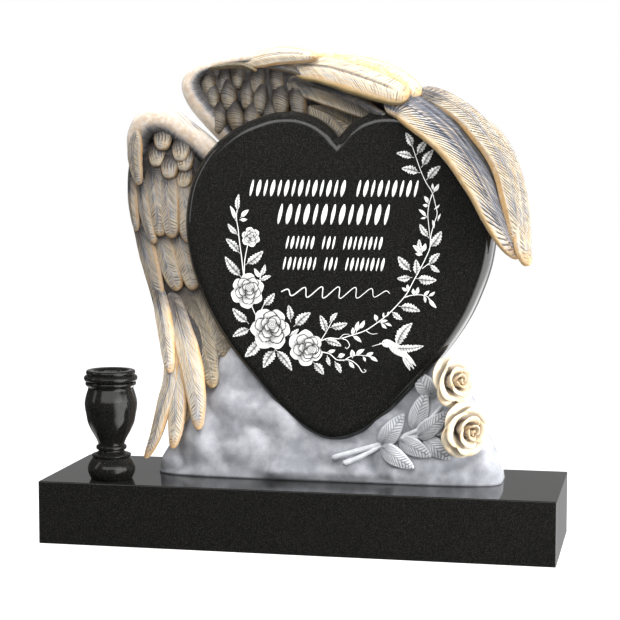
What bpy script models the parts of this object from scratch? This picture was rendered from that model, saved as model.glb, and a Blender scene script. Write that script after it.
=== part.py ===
"""Heart headstone: a black heart set in a carved rock, with two wings, two roses and a flower vase.

Metres, +Z up. +X is to the right of someone who reads the stone, and +Y points away from them.
The origin is the middle of the base's underside.
"""

import math

import bmesh
import bpy
from mathutils import Vector, noise

# Base slab
BASE_LENGTH = 1.220
BASE_DEPTH = 0.380
BASE_HEIGHT = 0.150
BASE_EDGE = 0.003

# Joints between pieces that touch, and the mortar bed that the wings are set in
JOINT_GAP = 0.0003
WING_BED = 0.001

# Heart tablet
HEART_WIDTH = 0.737
HEART_HEIGHT = 0.760
HEART_THICKNESS = 0.080
HEART_EDGE_ROUND = 0.027
HEART_CENTRE_X = 0.0865
HEART_TIP_ABOVE_BASE = 0.108
HEART_FACE_FORWARD = 0.072

# Carved rock
ROCK_LENGTH = 0.835
ROCK_HEIGHT = 0.600
ROCK_CENTRE_X = 0.051
ROCK_BACK = 0.140
ROCK_TOP_BACK = 0.081
ROCK_FOOT_HEIGHT = 0.216
ROCK_FOOT_FORWARD = 0.060
HEART_STANDS_PROUD = 0.026
ROCK_LUMP = 0.007
ROCK_LUMP_SPACING = 0.110
ROCK_LUMP_FADE = 0.020
ROCK_FRONT_NOISE_AT = 0.3
ROCK_BACK_NOISE_AT = 0.9

# Rose sprig on the rock
STEM_DIAMETER = 0.013
LEAF_THICKNESS = 0.012
LEAF_WIDTH = 0.038
LEAF_GROOVE = 0.002
LEAF_ROOT_PROUD = 0.003
LEAF_MIDDLE_PROUD = 0.007
LEAF_TIP_PROUD = 0.004
STEM_PROUD = 0.001
UPPER_ROSE_DIAMETER = 0.112
UPPER_ROSE_PLACE = (0.358, -0.060)
UPPER_ROSE_ABOVE_BASE = 0.248
LOWER_ROSE_DIAMETER = 0.124
LOWER_ROSE_PLACE = (0.387, -0.070)
LOWER_ROSE_ABOVE_BASE = 0.137
ROSE_DEPTH = 0.058
ROSE_PETAL_STEP = 0.009
ROSE_SPIRAL_TURNS = 3.2
ROSE_FACES = (0.30, -1.0, 0.16)
ROSE_SCALLOP = 0.05

# Wings
LEFT_FEATHER_THICKNESS = 0.017
UPPER_FEATHER_THICKNESS = 0.027
FEATHER_CROWN = 0.006
SCALE_LENGTH = 0.058
SCALE_WIDTH = 0.041
SCALE_LEAN = 0.010
SCALE_BOW = 0.004

# Flower vase
VASE_HEIGHT = 0.260
VASE_LIP_DIAMETER = 0.127
VASE_BORE_DIAMETER = 0.076
VASE_BORE_END_DIAMETER = 0.046
VASE_BORE_DEPTH = 0.150
VASE_FROM_END = 0.158
VASE_FROM_FRONT = 0.075
VASE_SIDES = 20

BASE_TOP = BASE_HEIGHT
SEAT_TOP = BASE_TOP + JOINT_GAP
HEART_TIP_Z = BASE_TOP + HEART_TIP_ABOVE_BASE
HEART_MIDDLE_Y = HEART_THICKNESS / 2 - HEART_FACE_FORWARD
ROCK_FRONT_AT_HEART = HEART_FACE_FORWARD - HEART_STANDS_PROUD
VASE_X = VASE_FROM_END - BASE_LENGTH / 2
VASE_Y = VASE_FROM_FRONT - BASE_DEPTH / 2

# Half of the heart's outline, from the cleft round to the tip.
# Each point is (share of half the width, share of the height).
HEART_HALF_OUTLINE = (
    (0.000, 0.925),
    (0.060, 0.957),
    (0.180, 0.992),
    (0.340, 1.004),
    (0.520, 0.986),
    (0.740, 0.930),
    (0.915, 0.832),
    (0.993, 0.715),
    (0.990, 0.590),
    (0.915, 0.455),
    (0.770, 0.315),
    (0.560, 0.170),
    (0.330, 0.055),
    (0.140, 0.006),
    (0.000, 0.000),
)

# The rock's ends: (share of the rock's height, left end, right end), ends as shares of half its length.
ROCK_ENDS = (
    (0.00, 1.000, 1.000),
    (0.06, 0.975, 0.988),
    (0.18, 0.875, 0.905),
    (0.32, 0.770, 0.820),
    (0.47, 0.655, 0.625),
    (0.57, 0.530, 0.520),
    (0.80, 0.480, 0.480),
    (0.93, 0.380, 0.390),
    (1.00, 0.250, 0.270),
)

# The vase's outer side, top to bottom: (share of half the lip's diameter, share of the height)
VASE_SIDE = (
    (0.87, 1.000),
    (0.92, 0.977),
    (0.89, 0.957),
    (0.98, 0.946),
    (1.00, 0.927),
    (0.98, 0.908),
    (0.90, 0.896),
    (0.94, 0.875),
    (0.85, 0.840),
    (0.91, 0.784),
    (0.98, 0.700),
    (0.95, 0.620),
    (0.80, 0.518),
    (0.60, 0.425),
    (0.49, 0.345),
    (0.49, 0.312),
    (0.57, 0.289),
    (0.48, 0.264),
    (0.60, 0.236),
    (0.73, 0.218),
    (0.69, 0.196),
    (0.84, 0.145),
    (0.89, 0.101),
    (0.85, 0.045),
    (0.76, 0.000),
)


def heart_point(across, up, back):
    """A point in shares of the heart: half its width, its height from the tip, its depth from its middle."""
    return Vector(
        (
            HEART_CENTRE_X + across * HEART_WIDTH / 2,
            HEART_MIDDLE_Y + back * HEART_THICKNESS,
            HEART_TIP_Z + up * HEART_HEIGHT,
        )
    )


def along(points, share):
    """The point at this share of a smooth curve through the points."""
    last = len(points) - 1
    place = min(max(share, 0.0), 1.0) * last
    start = min(int(place), last - 1)
    t = place - start
    a = points[max(start - 1, 0)]
    b = points[start]
    c = points[start + 1]
    d = points[min(start + 2, last)]
    return 0.5 * (
        2 * b + (c - a) * t + (2 * a - 5 * b + 4 * c - d) * t * t + (3 * b - a - 3 * c + d) * t * t * t
    )


def between(rows, height):
    """What a table gives at this height, in straight steps between its rows, which start with theirs."""
    for low, high in zip(rows, rows[1:]):
        if height <= high[0]:
            t = max((height - low[0]) / (high[0] - low[0]), 0.0)
            return [a + (b - a) * t for a, b in zip(low[1:], high[1:])]
    return list(rows[-1][1:])


def material(name, colour, roughness):
    """A plain stone finish."""
    made = bpy.data.materials.new(name)
    made.use_nodes = True
    shader = made.node_tree.nodes["Principled BSDF"]
    shader.inputs["Base Color"].default_value = (*colour, 1.0)
    shader.inputs["Roughness"].default_value = roughness
    shader.inputs["Metallic"].default_value = 0.0
    made.diffuse_color = (*colour, 1.0)
    return made


def object_from(bm, name, collection, finish=None):
    """A new object whose mesh is this bmesh, which is freed."""
    mesh = bpy.data.meshes.new(name)
    bm.to_mesh(mesh)
    bm.free()
    made = bpy.data.objects.new(name, mesh)
    collection.objects.link(made)
    if finish:
        mesh.materials.append(finish)
    return made


def hide(helper):
    """Marks a cutter or a shape that is joined into another."""
    helper.hide_render = True
    helper.display_type = "WIRE"
    return helper


def round_off(piece, degrees=40):
    """Smooth shading that keeps edges sharper than this angle."""
    piece.data.shade_smooth()
    piece.data.set_sharp_from_angle(angle=math.radians(degrees))


def boolean(piece, other, operation):
    """Joins or cuts a piece by another object."""
    step = piece.modifiers.new(f"{operation.lower()} {other.name}", "BOOLEAN")
    step.operation = operation
    step.solver = "EXACT"
    step.object = other


def join_all(piece, collection):
    """Joins every object of the collection into the piece."""
    step = piece.modifiers.new(f"join {collection.name}", "BOOLEAN")
    step.operation = "UNION"
    step.solver = "EXACT"
    step.operand_type = "COLLECTION"
    step.collection = collection


def fill_sealed_hollows(piece):
    """Makes the joined shape real, in triangles, and closes the hollows sealed between its shapes."""
    graph = bpy.context.evaluated_depsgraph_get()
    mesh = bpy.data.meshes.new_from_object(piece.evaluated_get(graph))
    piece.modifiers.clear()
    piece.data = mesh
    bm = bmesh.new()
    bm.from_mesh(mesh)
    bmesh.ops.triangulate(bm, faces=bm.faces)
    waiting = set(bm.faces)
    inner = []
    while waiting:
        shell = [waiting.pop()]
        for face in shell:
            for edge in face.edges:
                fresh = [other for other in edge.link_faces if other in waiting]
                waiting.difference_update(fresh)
                shell.extend(fresh)
        volume = sum(face.calc_center_median().dot(face.normal) * face.calc_area() for face in shell)
        if volume < 0:
            inner.extend(shell)
    bmesh.ops.delete(bm, geom=inner, context="FACES")
    bm.to_mesh(mesh)
    bm.free()


def seat_of(piece, collection, bed):
    """A cutter for the seat that the piece is bedded in: a copy with its faces moved out by the bed."""
    seat = bpy.data.objects.new(f"{piece.name}_seat", piece.data.copy())
    collection.objects.link(seat)
    swell = seat.modifiers.new("bed", "DISPLACE")
    swell.strength = bed
    swell.mid_level = 0.0
    return hide(seat)


def frame_at(points, share, roll):
    """The point of a curve at this share, with the side and face directions of what follows it."""
    step = 0.02
    forward = (along(points, share + step) - along(points, share - step)).normalized()
    face = Vector((math.sin(roll), -math.cos(roll), 0.0))
    side = face.cross(forward).normalized()
    return along(points, share), side, forward.cross(side)


def limb(points, half_widths, half_depths, sides, rings):
    """A solid of oval section along a curve, as a bmesh."""
    bm = bmesh.new()
    bmesh.ops.create_cone(bm, cap_ends=True, segments=sides, radius1=1, radius2=1, depth=2)
    uprights = [edge for edge in bm.edges if abs(edge.verts[0].co.z - edge.verts[1].co.z) > 1]
    bmesh.ops.subdivide_edges(bm, edges=uprights, cuts=rings - 1)
    halves = [Vector((width, depth, 0)) for width, depth in zip(half_widths, half_depths)]
    for vert in bm.verts:
        share = (vert.co.z + 1) / 2
        middle, side, face = frame_at(points, share, 0.0)
        half = along(halves, share)
        vert.co = middle + side * vert.co.x * half.x + face * vert.co.y * half.y
    bmesh.ops.recalc_face_normals(bm, faces=bm.faces)
    return bm


def feather_share(share, root, point):
    """A blade's width along its length, as a share of its widest: narrow root, full middle, rounded tip."""
    swell = root + (1 - root) * math.sin(min(share / 0.45, 1.0) * math.pi / 2)
    close = max(1 - share**point, 0.0) ** 0.5
    return swell * (0.16 + 0.84 * close)


def blade(points, half_width, thickness, crown, rows, roll=0.0, root=0.6, point=5.0):
    """A feather or a leaf: a thick curved blade with a ridge along its middle, as a bmesh."""
    bm = bmesh.new()
    bmesh.ops.create_grid(bm, x_segments=2, y_segments=rows, size=1)
    back = bmesh.ops.extrude_face_region(bm, geom=bm.faces[:])
    for part in back["geom"]:
        if isinstance(part, bmesh.types.BMVert):
            part.co.z = -1
    for vert in bm.verts:
        across, depth = vert.co.x, vert.co.z
        share = (vert.co.y + 1) / 2
        middle, side, face = frame_at(points, share, roll)
        half = half_width * feather_share(share, root, point)
        rise = crown * (1 - abs(across)) + depth * thickness
        vert.co = middle + side * across * half + face * rise
    bmesh.ops.recalc_face_normals(bm, faces=bm.faces)
    return bm


def make_base(parts, granite):
    """The rectangular base slab with eased edges."""
    bm = bmesh.new()
    bmesh.ops.create_cube(bm, size=1)
    for vert in bm.verts:
        vert.co.x *= BASE_LENGTH
        vert.co.y *= BASE_DEPTH
        vert.co.z = (vert.co.z + 0.5) * BASE_HEIGHT
    slab = object_from(bm, "base_slab", parts, granite)
    ease = slab.modifiers.new("eased edges", "BEVEL")
    ease.width = BASE_EDGE
    ease.segments = 1
    round_off(slab)


def make_vase(parts, granite):
    """The turned flower vase: its profile runs up the bore, over the lip and down the outer side."""
    lip = VASE_LIP_DIAMETER / 2
    bore = VASE_BORE_DIAMETER / 2
    bore_end = VASE_BORE_END_DIAMETER / 2
    floor = VASE_HEIGHT - VASE_BORE_DEPTH
    ease = (VASE_SIDE[0][0] * lip - bore) * 0.3
    profile = [(0.0, floor), (bore_end, floor), (bore, VASE_HEIGHT - ease), (bore + ease, VASE_HEIGHT)]
    profile += [(radius * lip, height * VASE_HEIGHT) for radius, height in VASE_SIDE]
    profile.append((0.0, 0.0))
    bm = bmesh.new()
    row = [bm.verts.new((radius, 0.0, height)) for radius, height in profile]
    for low, high in zip(row, row[1:]):
        bm.edges.new((low, high))
    vase = object_from(bm, "flower_vase", parts, granite)
    vase.location = (VASE_X, VASE_Y, SEAT_TOP)
    turn = vase.modifiers.new("turned", "SCREW")
    turn.steps = VASE_SIDES
    turn.render_steps = VASE_SIDES
    turn.use_merge_vertices = True
    turn.merge_threshold = 0.00001
    turn.use_smooth_shade = True


def heart_solid(name, collection, grow):
    """The heart with rounded edges, each face moved out by grow."""
    curve = bpy.data.curves.new(name, "CURVE")
    curve.dimensions = "2D"
    curve.fill_mode = "BOTH"
    curve.resolution_u = 3
    curve.bevel_depth = HEART_EDGE_ROUND
    curve.bevel_resolution = 1
    curve.offset = grow - HEART_EDGE_ROUND
    curve.extrude = HEART_THICKNESS / 2 + grow - HEART_EDGE_ROUND
    right = list(HEART_HALF_OUTLINE)
    left = [(-across, up) for across, up in reversed(right[1:-1])]
    spline = curve.splines.new("BEZIER")
    spline.use_cyclic_u = True
    spline.bezier_points.add(len(right) + len(left) - 1)
    for knot, (across, up) in zip(spline.bezier_points, right + left):
        knot.co = (across * HEART_WIDTH / 2, up * HEART_HEIGHT, 0)
        knot.handle_left_type = knot.handle_right_type = "AUTO"
    cleft = spline.bezier_points[0]
    cleft.handle_left_type = cleft.handle_right_type = "VECTOR"
    drawn = bpy.data.objects.new(name, curve)
    collection.objects.link(drawn)
    graph = bpy.context.evaluated_depsgraph_get()
    mesh = bpy.data.meshes.new_from_object(drawn.evaluated_get(graph))
    bpy.data.objects.remove(drawn)
    bm = bmesh.new()
    bm.from_mesh(mesh)
    bpy.data.meshes.remove(mesh)
    bmesh.ops.remove_doubles(bm, verts=bm.verts, dist=0.00001)
    for vert in bm.verts:
        across, up, forward = vert.co
        vert.co = (HEART_CENTRE_X + across, HEART_MIDDLE_Y - forward, HEART_TIP_Z + up)
    bmesh.ops.recalc_face_normals(bm, faces=bm.faces)
    return object_from(bm, name, collection)


def rock_half_depth_share(across):
    """How far the rock's front comes forward at this share of its half length: full, with rounded ends."""
    return max(1 - abs(across) ** 5, 0.0) ** 0.2


def rock_ends(height):
    """The rock's left and right ends at this height above the base."""
    left, right = between(ROCK_ENDS, height / ROCK_HEIGHT)
    return ROCK_CENTRE_X - left * ROCK_LENGTH / 2, ROCK_CENTRE_X + right * ROCK_LENGTH / 2


def rock_front(x, height):
    """Where the rock's front face lies at this x and height above the base."""
    left, right = rock_ends(height)
    middle, half = (left + right) / 2, (right - left) / 2
    across = min(abs((x - middle) / half), 1.0)
    foot = min(height / ROCK_FOOT_HEIGHT, 1.0)
    forward = ROCK_FOOT_FORWARD + (ROCK_FRONT_AT_HEART - ROCK_FOOT_FORWARD) * foot
    centre = (ROCK_BACK - forward) / 2
    lump = noise.noise(Vector((x, ROCK_FRONT_NOISE_AT, height)) / ROCK_LUMP_SPACING) * ROCK_LUMP
    lump *= min(height / ROCK_LUMP_FADE, 1.0)
    return centre - (centre + forward) * rock_half_depth_share(across) - lump


def make_rock_lump(parts, stone):
    """The rock itself: a standing drum whose rings follow the rock's ends, front and back."""
    bm = bmesh.new()
    bmesh.ops.create_cone(bm, cap_ends=True, segments=28, radius1=1, radius2=1, depth=2)
    uprights = [edge for edge in bm.edges if abs(edge.verts[0].co.z - edge.verts[1].co.z) > 1]
    bmesh.ops.subdivide_edges(bm, edges=uprights, cuts=10)
    for vert in bm.verts:
        height = (vert.co.z + 1) / 2 * ROCK_HEIGHT
        left, right = rock_ends(height)
        angle = math.atan2(vert.co.y, vert.co.x)
        across = math.copysign(abs(math.cos(angle)) ** 0.55, math.cos(angle))
        x = (left + right) / 2 + across * (right - left) / 2
        front = rock_front(x, height)
        slope = ROCK_BACK + (ROCK_TOP_BACK - ROCK_BACK) * height / ROCK_HEIGHT
        back = (ROCK_BACK - ROCK_FOOT_FORWARD) / 2
        back += (slope - back) * rock_half_depth_share(across)
        back += noise.noise(Vector((x, ROCK_BACK_NOISE_AT, height)) / ROCK_LUMP_SPACING) * ROCK_LUMP
        vert.co = (x, front if vert.co.y < 0 else back, SEAT_TOP + height)
        if abs(math.sin(angle)) < 0.01:
            vert.co.y = (ROCK_BACK - ROCK_FOOT_FORWARD) / 2
    bmesh.ops.recalc_face_normals(bm, faces=bm.faces)
    return object_from(bm, "rock_body", parts, stone)


def on_rock(x, height, proud):
    """A point on the rock's front face at this x and height above the base, this far in front of it."""
    return Vector((x, rock_front(x, height) - proud, SEAT_TOP + height))


# Leaves of the sprig: (stalk end x, height, tip x, height), heights above the base
SPRIG_LEAVES = (
    (0.190, 0.089, 0.242, 0.162),
    (0.235, 0.105, 0.308, 0.072),
    (0.192, 0.089, 0.266, 0.045),
    (0.270, 0.130, 0.293, 0.217),
    (0.280, 0.114, 0.347, 0.172),
    (0.294, 0.109, 0.352, 0.068),
    (0.306, 0.215, 0.272, 0.262),
)

# Stems of the sprig: (x, height) along each, heights above the base
SPRIG_STEMS = (
    ((0.073, 0.057), (0.123, 0.074), (0.180, 0.091), (0.240, 0.112), (0.290, 0.140), (0.335, 0.190)),
    ((0.102, 0.047), (0.143, 0.064), (0.195, 0.092)),
    ((0.232, 0.108), (0.285, 0.116), (0.360, 0.126)),
)


def make_sprig(helpers):
    """The stems and leaves that stand out of the rock's front."""
    for number, (x0, h0, x1, h1) in enumerate(SPRIG_LEAVES):
        middle_x, middle_h = (x0 + x1) / 2, (h0 + h1) / 2
        points = [
            on_rock(x0, h0, LEAF_ROOT_PROUD),
            on_rock(middle_x, middle_h, LEAF_MIDDLE_PROUD),
            on_rock(x1, h1, LEAF_TIP_PROUD),
        ]
        bm = blade(points, LEAF_WIDTH / 2, LEAF_THICKNESS, -LEAF_GROOVE, 4, root=0.3, point=2.0)
        hide(object_from(bm, f"sprig_leaf_{number}", helpers))
    for number, route in enumerate(SPRIG_STEMS):
        points = [on_rock(x, height, STEM_PROUD) for x, height in route]
        half = STEM_DIAMETER / 2
        bm = limb(points, [half] * len(points), [half] * len(points), 6, 2 * len(points))
        hide(object_from(bm, f"sprig_stem_{number}", helpers))


def rose_height(radius, angle):
    """How far a rose's face stands forward at this share of its radius: a dome in spiral petal steps."""
    turns = radius * ROSE_SPIRAL_TURNS - angle / math.tau
    step = turns - math.floor(turns)
    dome = math.sqrt(max(1 - (radius * 0.92) ** 2, 0.0))
    return dome * (ROSE_DEPTH - ROSE_PETAL_STEP) + step * ROSE_PETAL_STEP * min(radius * 3, 1.0)


def rose_solid(name, collection, middle, diameter, grow, finish=None):
    """A rose head: a domed face carved in a spiral of petals, on a shallow bowl."""
    bm = bmesh.new()
    bmesh.ops.create_uvsphere(bm, u_segments=22, v_segments=12, radius=1)
    turn = Vector((0, 0, 1)).rotation_difference(Vector(ROSE_FACES))
    for vert in bm.verts:
        x, y, z = vert.co
        flat = math.hypot(x, y)
        angle = math.atan2(y, x)
        radius = math.acos(max(min(abs(z), 1.0), -1.0)) / (math.pi / 2)
        spread = diameter / 2 * radius + grow * min(flat * 4, 1.0)
        petals = 1 + ROSE_SCALLOP * math.cos(5 * angle) * radius
        if z >= -0.001:
            depth = rose_height(radius, angle) + grow
        else:
            depth = -0.4 * ROSE_DEPTH * math.sqrt(max(1 - radius**2, 0.0)) - grow
        place = Vector((math.cos(angle) * spread * petals, math.sin(angle) * spread * petals, depth))
        vert.co = middle + turn @ place
    return object_from(bm, name, collection, finish)


# Feathers of the left wing, in shares of the heart (see heart_point), with half their width in metres:
# name, points from root to tip, half width, roll in degrees
LEFT_FEATHERS = (
    ("primary_outer", ((-1.20, 0.44, 0.15), (-1.145, 0.29, -0.15), (-1.127, 0.17, -0.33),
                       (-1.148, 0.09, -0.42), (-1.205, -0.01, -0.46), (-1.276, -0.088, -0.46)), 0.019, -12),
    ("primary_second", ((-1.16, 0.40, 0.12), (-1.09, 0.23, -0.20), (-1.062, 0.10, -0.40),
                        (-1.068, 0.02, -0.47), (-1.088, -0.052, -0.50)), 0.022, -4),
    ("primary_third", ((-1.12, 0.44, 0.05), (-1.03, 0.31, -0.20), (-0.96, 0.20, -0.40),
                       (-0.925, 0.10, -0.47), (-0.911, 0.010, -0.50)), 0.024, 4),
    ("primary_fourth", ((-1.04, 0.46, 0.12), (-0.93, 0.34, 0.02), (-0.83, 0.14, -0.22)), 0.026, 8),
    ("primary_fifth", ((-0.94, 0.47, 0.12), (-0.83, 0.36, 0.05), (-0.745, 0.235, -0.02)), 0.026, 8),
    ("overlay", ((-1.245, 0.46, -0.05), (-1.17, 0.32, -0.25), (-1.106, 0.187, -0.47)), 0.019, -10),
    ("long_covert_0", ((-1.355, 0.66, 0.22), (-1.29, 0.53, 0.05), (-1.222, 0.395, -0.10)), 0.025, -22),
    ("long_covert_1", ((-1.216, 0.65, 0.15), (-1.137, 0.53, 0.0), (-1.063, 0.445, -0.15)), 0.024, -6),
    ("long_covert_2", ((-1.09, 0.65, 0.15), (-1.009, 0.532, 0.0), (-0.955, 0.448, -0.12)), 0.024, 6),
    ("long_covert_3", ((-0.965, 0.65, 0.20), (-0.894, 0.533, 0.12), (-0.839, 0.436, 0.05)), 0.024, 12),
    ("covert_0", ((-1.24, 0.84, 0.12), (-1.215, 0.727, -0.02), (-1.18, 0.615, -0.12)), 0.026, -8),
    ("covert_1", ((-1.15, 0.83, 0.08), (-1.125, 0.711, -0.08), (-1.098, 0.610, -0.20)), 0.024, -2),
    ("covert_2", ((-1.045, 0.83, 0.16), (-1.012, 0.69, 0.0), (-0.985, 0.595, -0.10)), 0.024, 8),
    ("edge_covert_2", ((-1.33, 0.80, 0.15), (-1.29, 0.689, 0.02), (-1.229, 0.590, -0.08)), 0.017, -20),
    ("edge_covert_1", ((-1.400, 0.80, 0.25), (-1.385, 0.711, 0.18), (-1.362, 0.628, 0.12)), 0.017, -45),
    ("edge_covert_0", ((-1.375, 0.97, 0.10), (-1.368, 0.86, -0.05), (-1.345, 0.772, -0.14)), 0.025, -32),
)

# Small coverts of the left wing, tips only, in shares of the heart
LEFT_SCALES = (
    (-1.00, 0.765, 0.02),
    (-1.09, 0.795, -0.10),
    (-1.235, 0.832, -0.02),
    (-1.045, 0.840, -0.08),
    (-1.165, 0.880, -0.12),
)

LEFT_ARM = ((-0.78, 0.77, 0.90), (-0.87, 0.865, 0.55), (-1.02, 0.932, 0.30), (-1.15, 0.972, 0.16),
            (-1.265, 0.968, 0.12), (-1.335, 0.925, 0.18), (-1.355, 0.86, 0.25))
LEFT_ARM_HALF = (0.030, 0.032, 0.033, 0.034, 0.034, 0.030, 0.022)
LEFT_BODY = ((-1.16, 0.94, 0.45), (-1.17, 0.78, 0.42), (-1.12, 0.60, 0.40), (-1.05, 0.42, 0.30),
             (-1.02, 0.26, 0.02), (-1.02, 0.14, -0.15))
LEFT_BODY_HALF = (0.060, 0.092, 0.094, 0.080, 0.056, 0.022)
LEFT_BODY_DEPTH = (0.034, 0.030, 0.026, 0.022, 0.020, 0.012)
LEFT_ROOT = ((-1.16, 0.80, 0.62), (-0.97, 0.73, 0.95), (-0.74, 0.60, 1.10), (-0.50, 0.44, 1.10))
LEFT_ROOT_HALF = (0.050, 0.074, 0.072, 0.045)

# Feathers of the upper wing, as above
UPPER_FEATHERS = (
    ("primary_inner", ((0.33, 1.035, -0.55), (0.52, 1.00, -0.85), (0.70, 0.905, -1.02), (0.86, 0.80, -1.05),
                       (1.00, 0.69, -1.00), (1.16, 0.572, -0.95)), 0.040, 18),
    ("primary_outer", ((0.50, 1.065, -0.50), (0.72, 1.015, -0.78), (0.93, 0.915, -0.85), (1.07, 0.80, -0.82),
                       (1.135, 0.69, -0.82), (1.19, 0.575, -0.88)), 0.033, 40),
    ("primary_edge", ((0.60, 1.07, -0.25), (0.86, 1.01, -0.47), (1.07, 0.895, -0.53), (1.16, 0.78, -0.55),
                      (1.19, 0.665, -0.60), (1.236, 0.548, -0.85)), 0.022, 62),
    ("long_covert", ((-0.20, 1.148, -0.20), (0.00, 1.135, -0.45), (0.20, 1.100, -0.60), (0.35, 1.065, -0.72),
                     (0.452, 1.042, -0.80)), 0.036, 8),
    ("back_covert", ((0.05, 1.150, -0.05), (0.25, 1.130, -0.25), (0.40, 1.100, -0.42), (0.52, 1.052, -0.62)),
     0.026, 30),
    ("crest_covert", ((-0.62, 1.168, 0.20), (-0.40, 1.176, 0.05), (-0.25, 1.174, -0.15),
                      (-0.155, 1.166, -0.30)), 0.019, 0),
    ("under_long", ((-0.35, 1.128, 0.02), (-0.05, 1.075, -0.15), (0.16, 1.010, -0.35), (0.38, 0.965, -0.50)),
     0.019, -10),
    ("under_short", ((-0.56, 1.142, 0.05), (-0.35, 1.133, -0.05), (-0.20, 1.098, -0.12)), 0.014, -10),
    ("inner_long", ((-0.32, 1.08, 0.60), (-0.02, 1.030, 0.60), (0.27, 0.960, 0.60)), 0.032, -6),
    ("inner_short", ((-0.34, 1.02, 0.64), (-0.12, 0.972, 0.66), (0.07, 0.895, 0.66)), 0.030, -6),
)

# Rows of small coverts in the upper wing's hollow: (first tip, last tip, how many), shares of the heart
UPPER_SCALE_ROWS = (
    ((-0.87, 0.945, 0.42), (-0.40, 0.975, 0.42), 5),
    ((-0.85, 1.015, 0.34), (-0.25, 0.995, 0.34), 6),
    ((-0.88, 1.075, 0.26), (-0.27, 1.045, 0.26), 6),
)

UPPER_ARM = ((-0.60, 0.87, 0.95), (-0.74, 0.92, 0.60), (-0.86, 0.985, 0.28), (-0.955, 1.045, 0.18),
             (-0.99, 1.092, 0.15), (-0.935, 1.130, 0.12), (-0.80, 1.148, 0.10), (-0.66, 1.152, 0.08),
             (-0.545, 1.146, 0.08))
UPPER_ARM_HALF = (0.026, 0.024, 0.023, 0.023, 0.022, 0.018, 0.014, 0.012, 0.008)
UPPER_BODY = ((-0.955, 1.07, 0.62), (-0.80, 1.055, 0.74), (-0.52, 1.075, 0.78), (-0.20, 1.095, 0.62),
              (0.12, 1.060, 0.25), (0.40, 1.020, -0.18), (0.68, 0.945, -0.45), (0.93, 0.83, -0.50),
              (1.08, 0.71, -0.50), (1.18, 0.60, -0.68))
UPPER_BODY_HALF = (0.032, 0.062, 0.072, 0.060, 0.046, 0.042, 0.048, 0.044, 0.032, 0.014)
UPPER_BODY_DEPTH = (0.022, 0.030, 0.030, 0.029, 0.032, 0.036, 0.036, 0.030, 0.022, 0.012)
UPPER_ROOT = ((-0.58, 1.10, 0.98), (-0.47, 0.95, 1.04), (-0.28, 0.78, 1.08), (-0.10, 0.60, 1.06))
UPPER_ROOT_HALF = (0.075, 0.090, 0.080, 0.045)


def add_feathers(feathers, thickness, collection, prefix):
    """Each feather of a wing's table, as a helper object that is joined into the wing."""
    for name, points, half_width, roll in feathers:
        spine = [heart_point(*point) for point in points]
        rows = len(points) + 1
        bm = blade(spine, half_width, thickness, FEATHER_CROWN, rows, roll=math.radians(roll))
        hide(object_from(bm, f"{prefix}_{name}", collection))


def add_scale(tip, thickness, collection, name):
    """A small covert whose tip is at this share of the heart."""
    end = heart_point(*tip)
    root = end + Vector((0, SCALE_LEAN, SCALE_LENGTH))
    middle = (end + root) / 2 - Vector((0, SCALE_BOW, 0))
    bm = blade([root, middle, end], SCALE_WIDTH / 2, thickness, FEATHER_CROWN, 3)
    hide(object_from(bm, name, collection))


def swept(points, half_widths, half_depths, sides, rings):
    """A limb of a wing whose points are shares of the heart."""
    return limb([heart_point(*point) for point in points], half_widths, half_depths, sides, rings)


def left_wing(parts, helpers, finish):
    """The folded wing at the left, joined from its body, arm, root and feathers."""
    shapes = bpy.data.collections.new("left_wing_shapes")
    helpers.children.link(shapes)
    body = swept(LEFT_BODY, LEFT_BODY_HALF, LEFT_BODY_DEPTH, 10, 6)
    wing = object_from(body, "left_wing", parts, finish)
    arm = swept(LEFT_ARM, LEFT_ARM_HALF, LEFT_ARM_HALF, 8, 10)
    hide(object_from(arm, "left_arm", shapes))
    root = swept(LEFT_ROOT, LEFT_ROOT_HALF, [0.6 * half for half in LEFT_ROOT_HALF], 8, 4)
    hide(object_from(root, "left_root", shapes))
    add_feathers(LEFT_FEATHERS, LEFT_FEATHER_THICKNESS, shapes, "left")
    for number, tip in enumerate(LEFT_SCALES):
        add_scale(tip, LEFT_FEATHER_THICKNESS, shapes, f"left_scale_{number}")
    join_all(wing, shapes)
    fill_sealed_hollows(wing)
    return wing


def upper_wing(parts, helpers, finish):
    """The wing over the heart, joined from its body, arm, root and feathers."""
    shapes = bpy.data.collections.new("upper_wing_shapes")
    helpers.children.link(shapes)
    body = swept(UPPER_BODY, UPPER_BODY_HALF, UPPER_BODY_DEPTH, 10, 9)
    wing = object_from(body, "upper_wing", parts, finish)
    arm = swept(UPPER_ARM, UPPER_ARM_HALF, UPPER_ARM_HALF, 8, 10)
    hide(object_from(arm, "upper_arm", shapes))
    root = swept(UPPER_ROOT, UPPER_ROOT_HALF, [0.5 * half for half in UPPER_ROOT_HALF], 8, 4)
    hide(object_from(root, "upper_root", shapes))
    add_feathers(UPPER_FEATHERS, UPPER_FEATHER_THICKNESS, shapes, "upper")
    for row, (first, last, count) in enumerate(UPPER_SCALE_ROWS):
        for number in range(count):
            tip = Vector(first).lerp(Vector(last), number / (count - 1))
            add_scale(tip, UPPER_FEATHER_THICKNESS, shapes, f"upper_scale_{row}_{number}")
    join_all(wing, shapes)
    fill_sealed_hollows(wing)
    return wing


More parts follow.
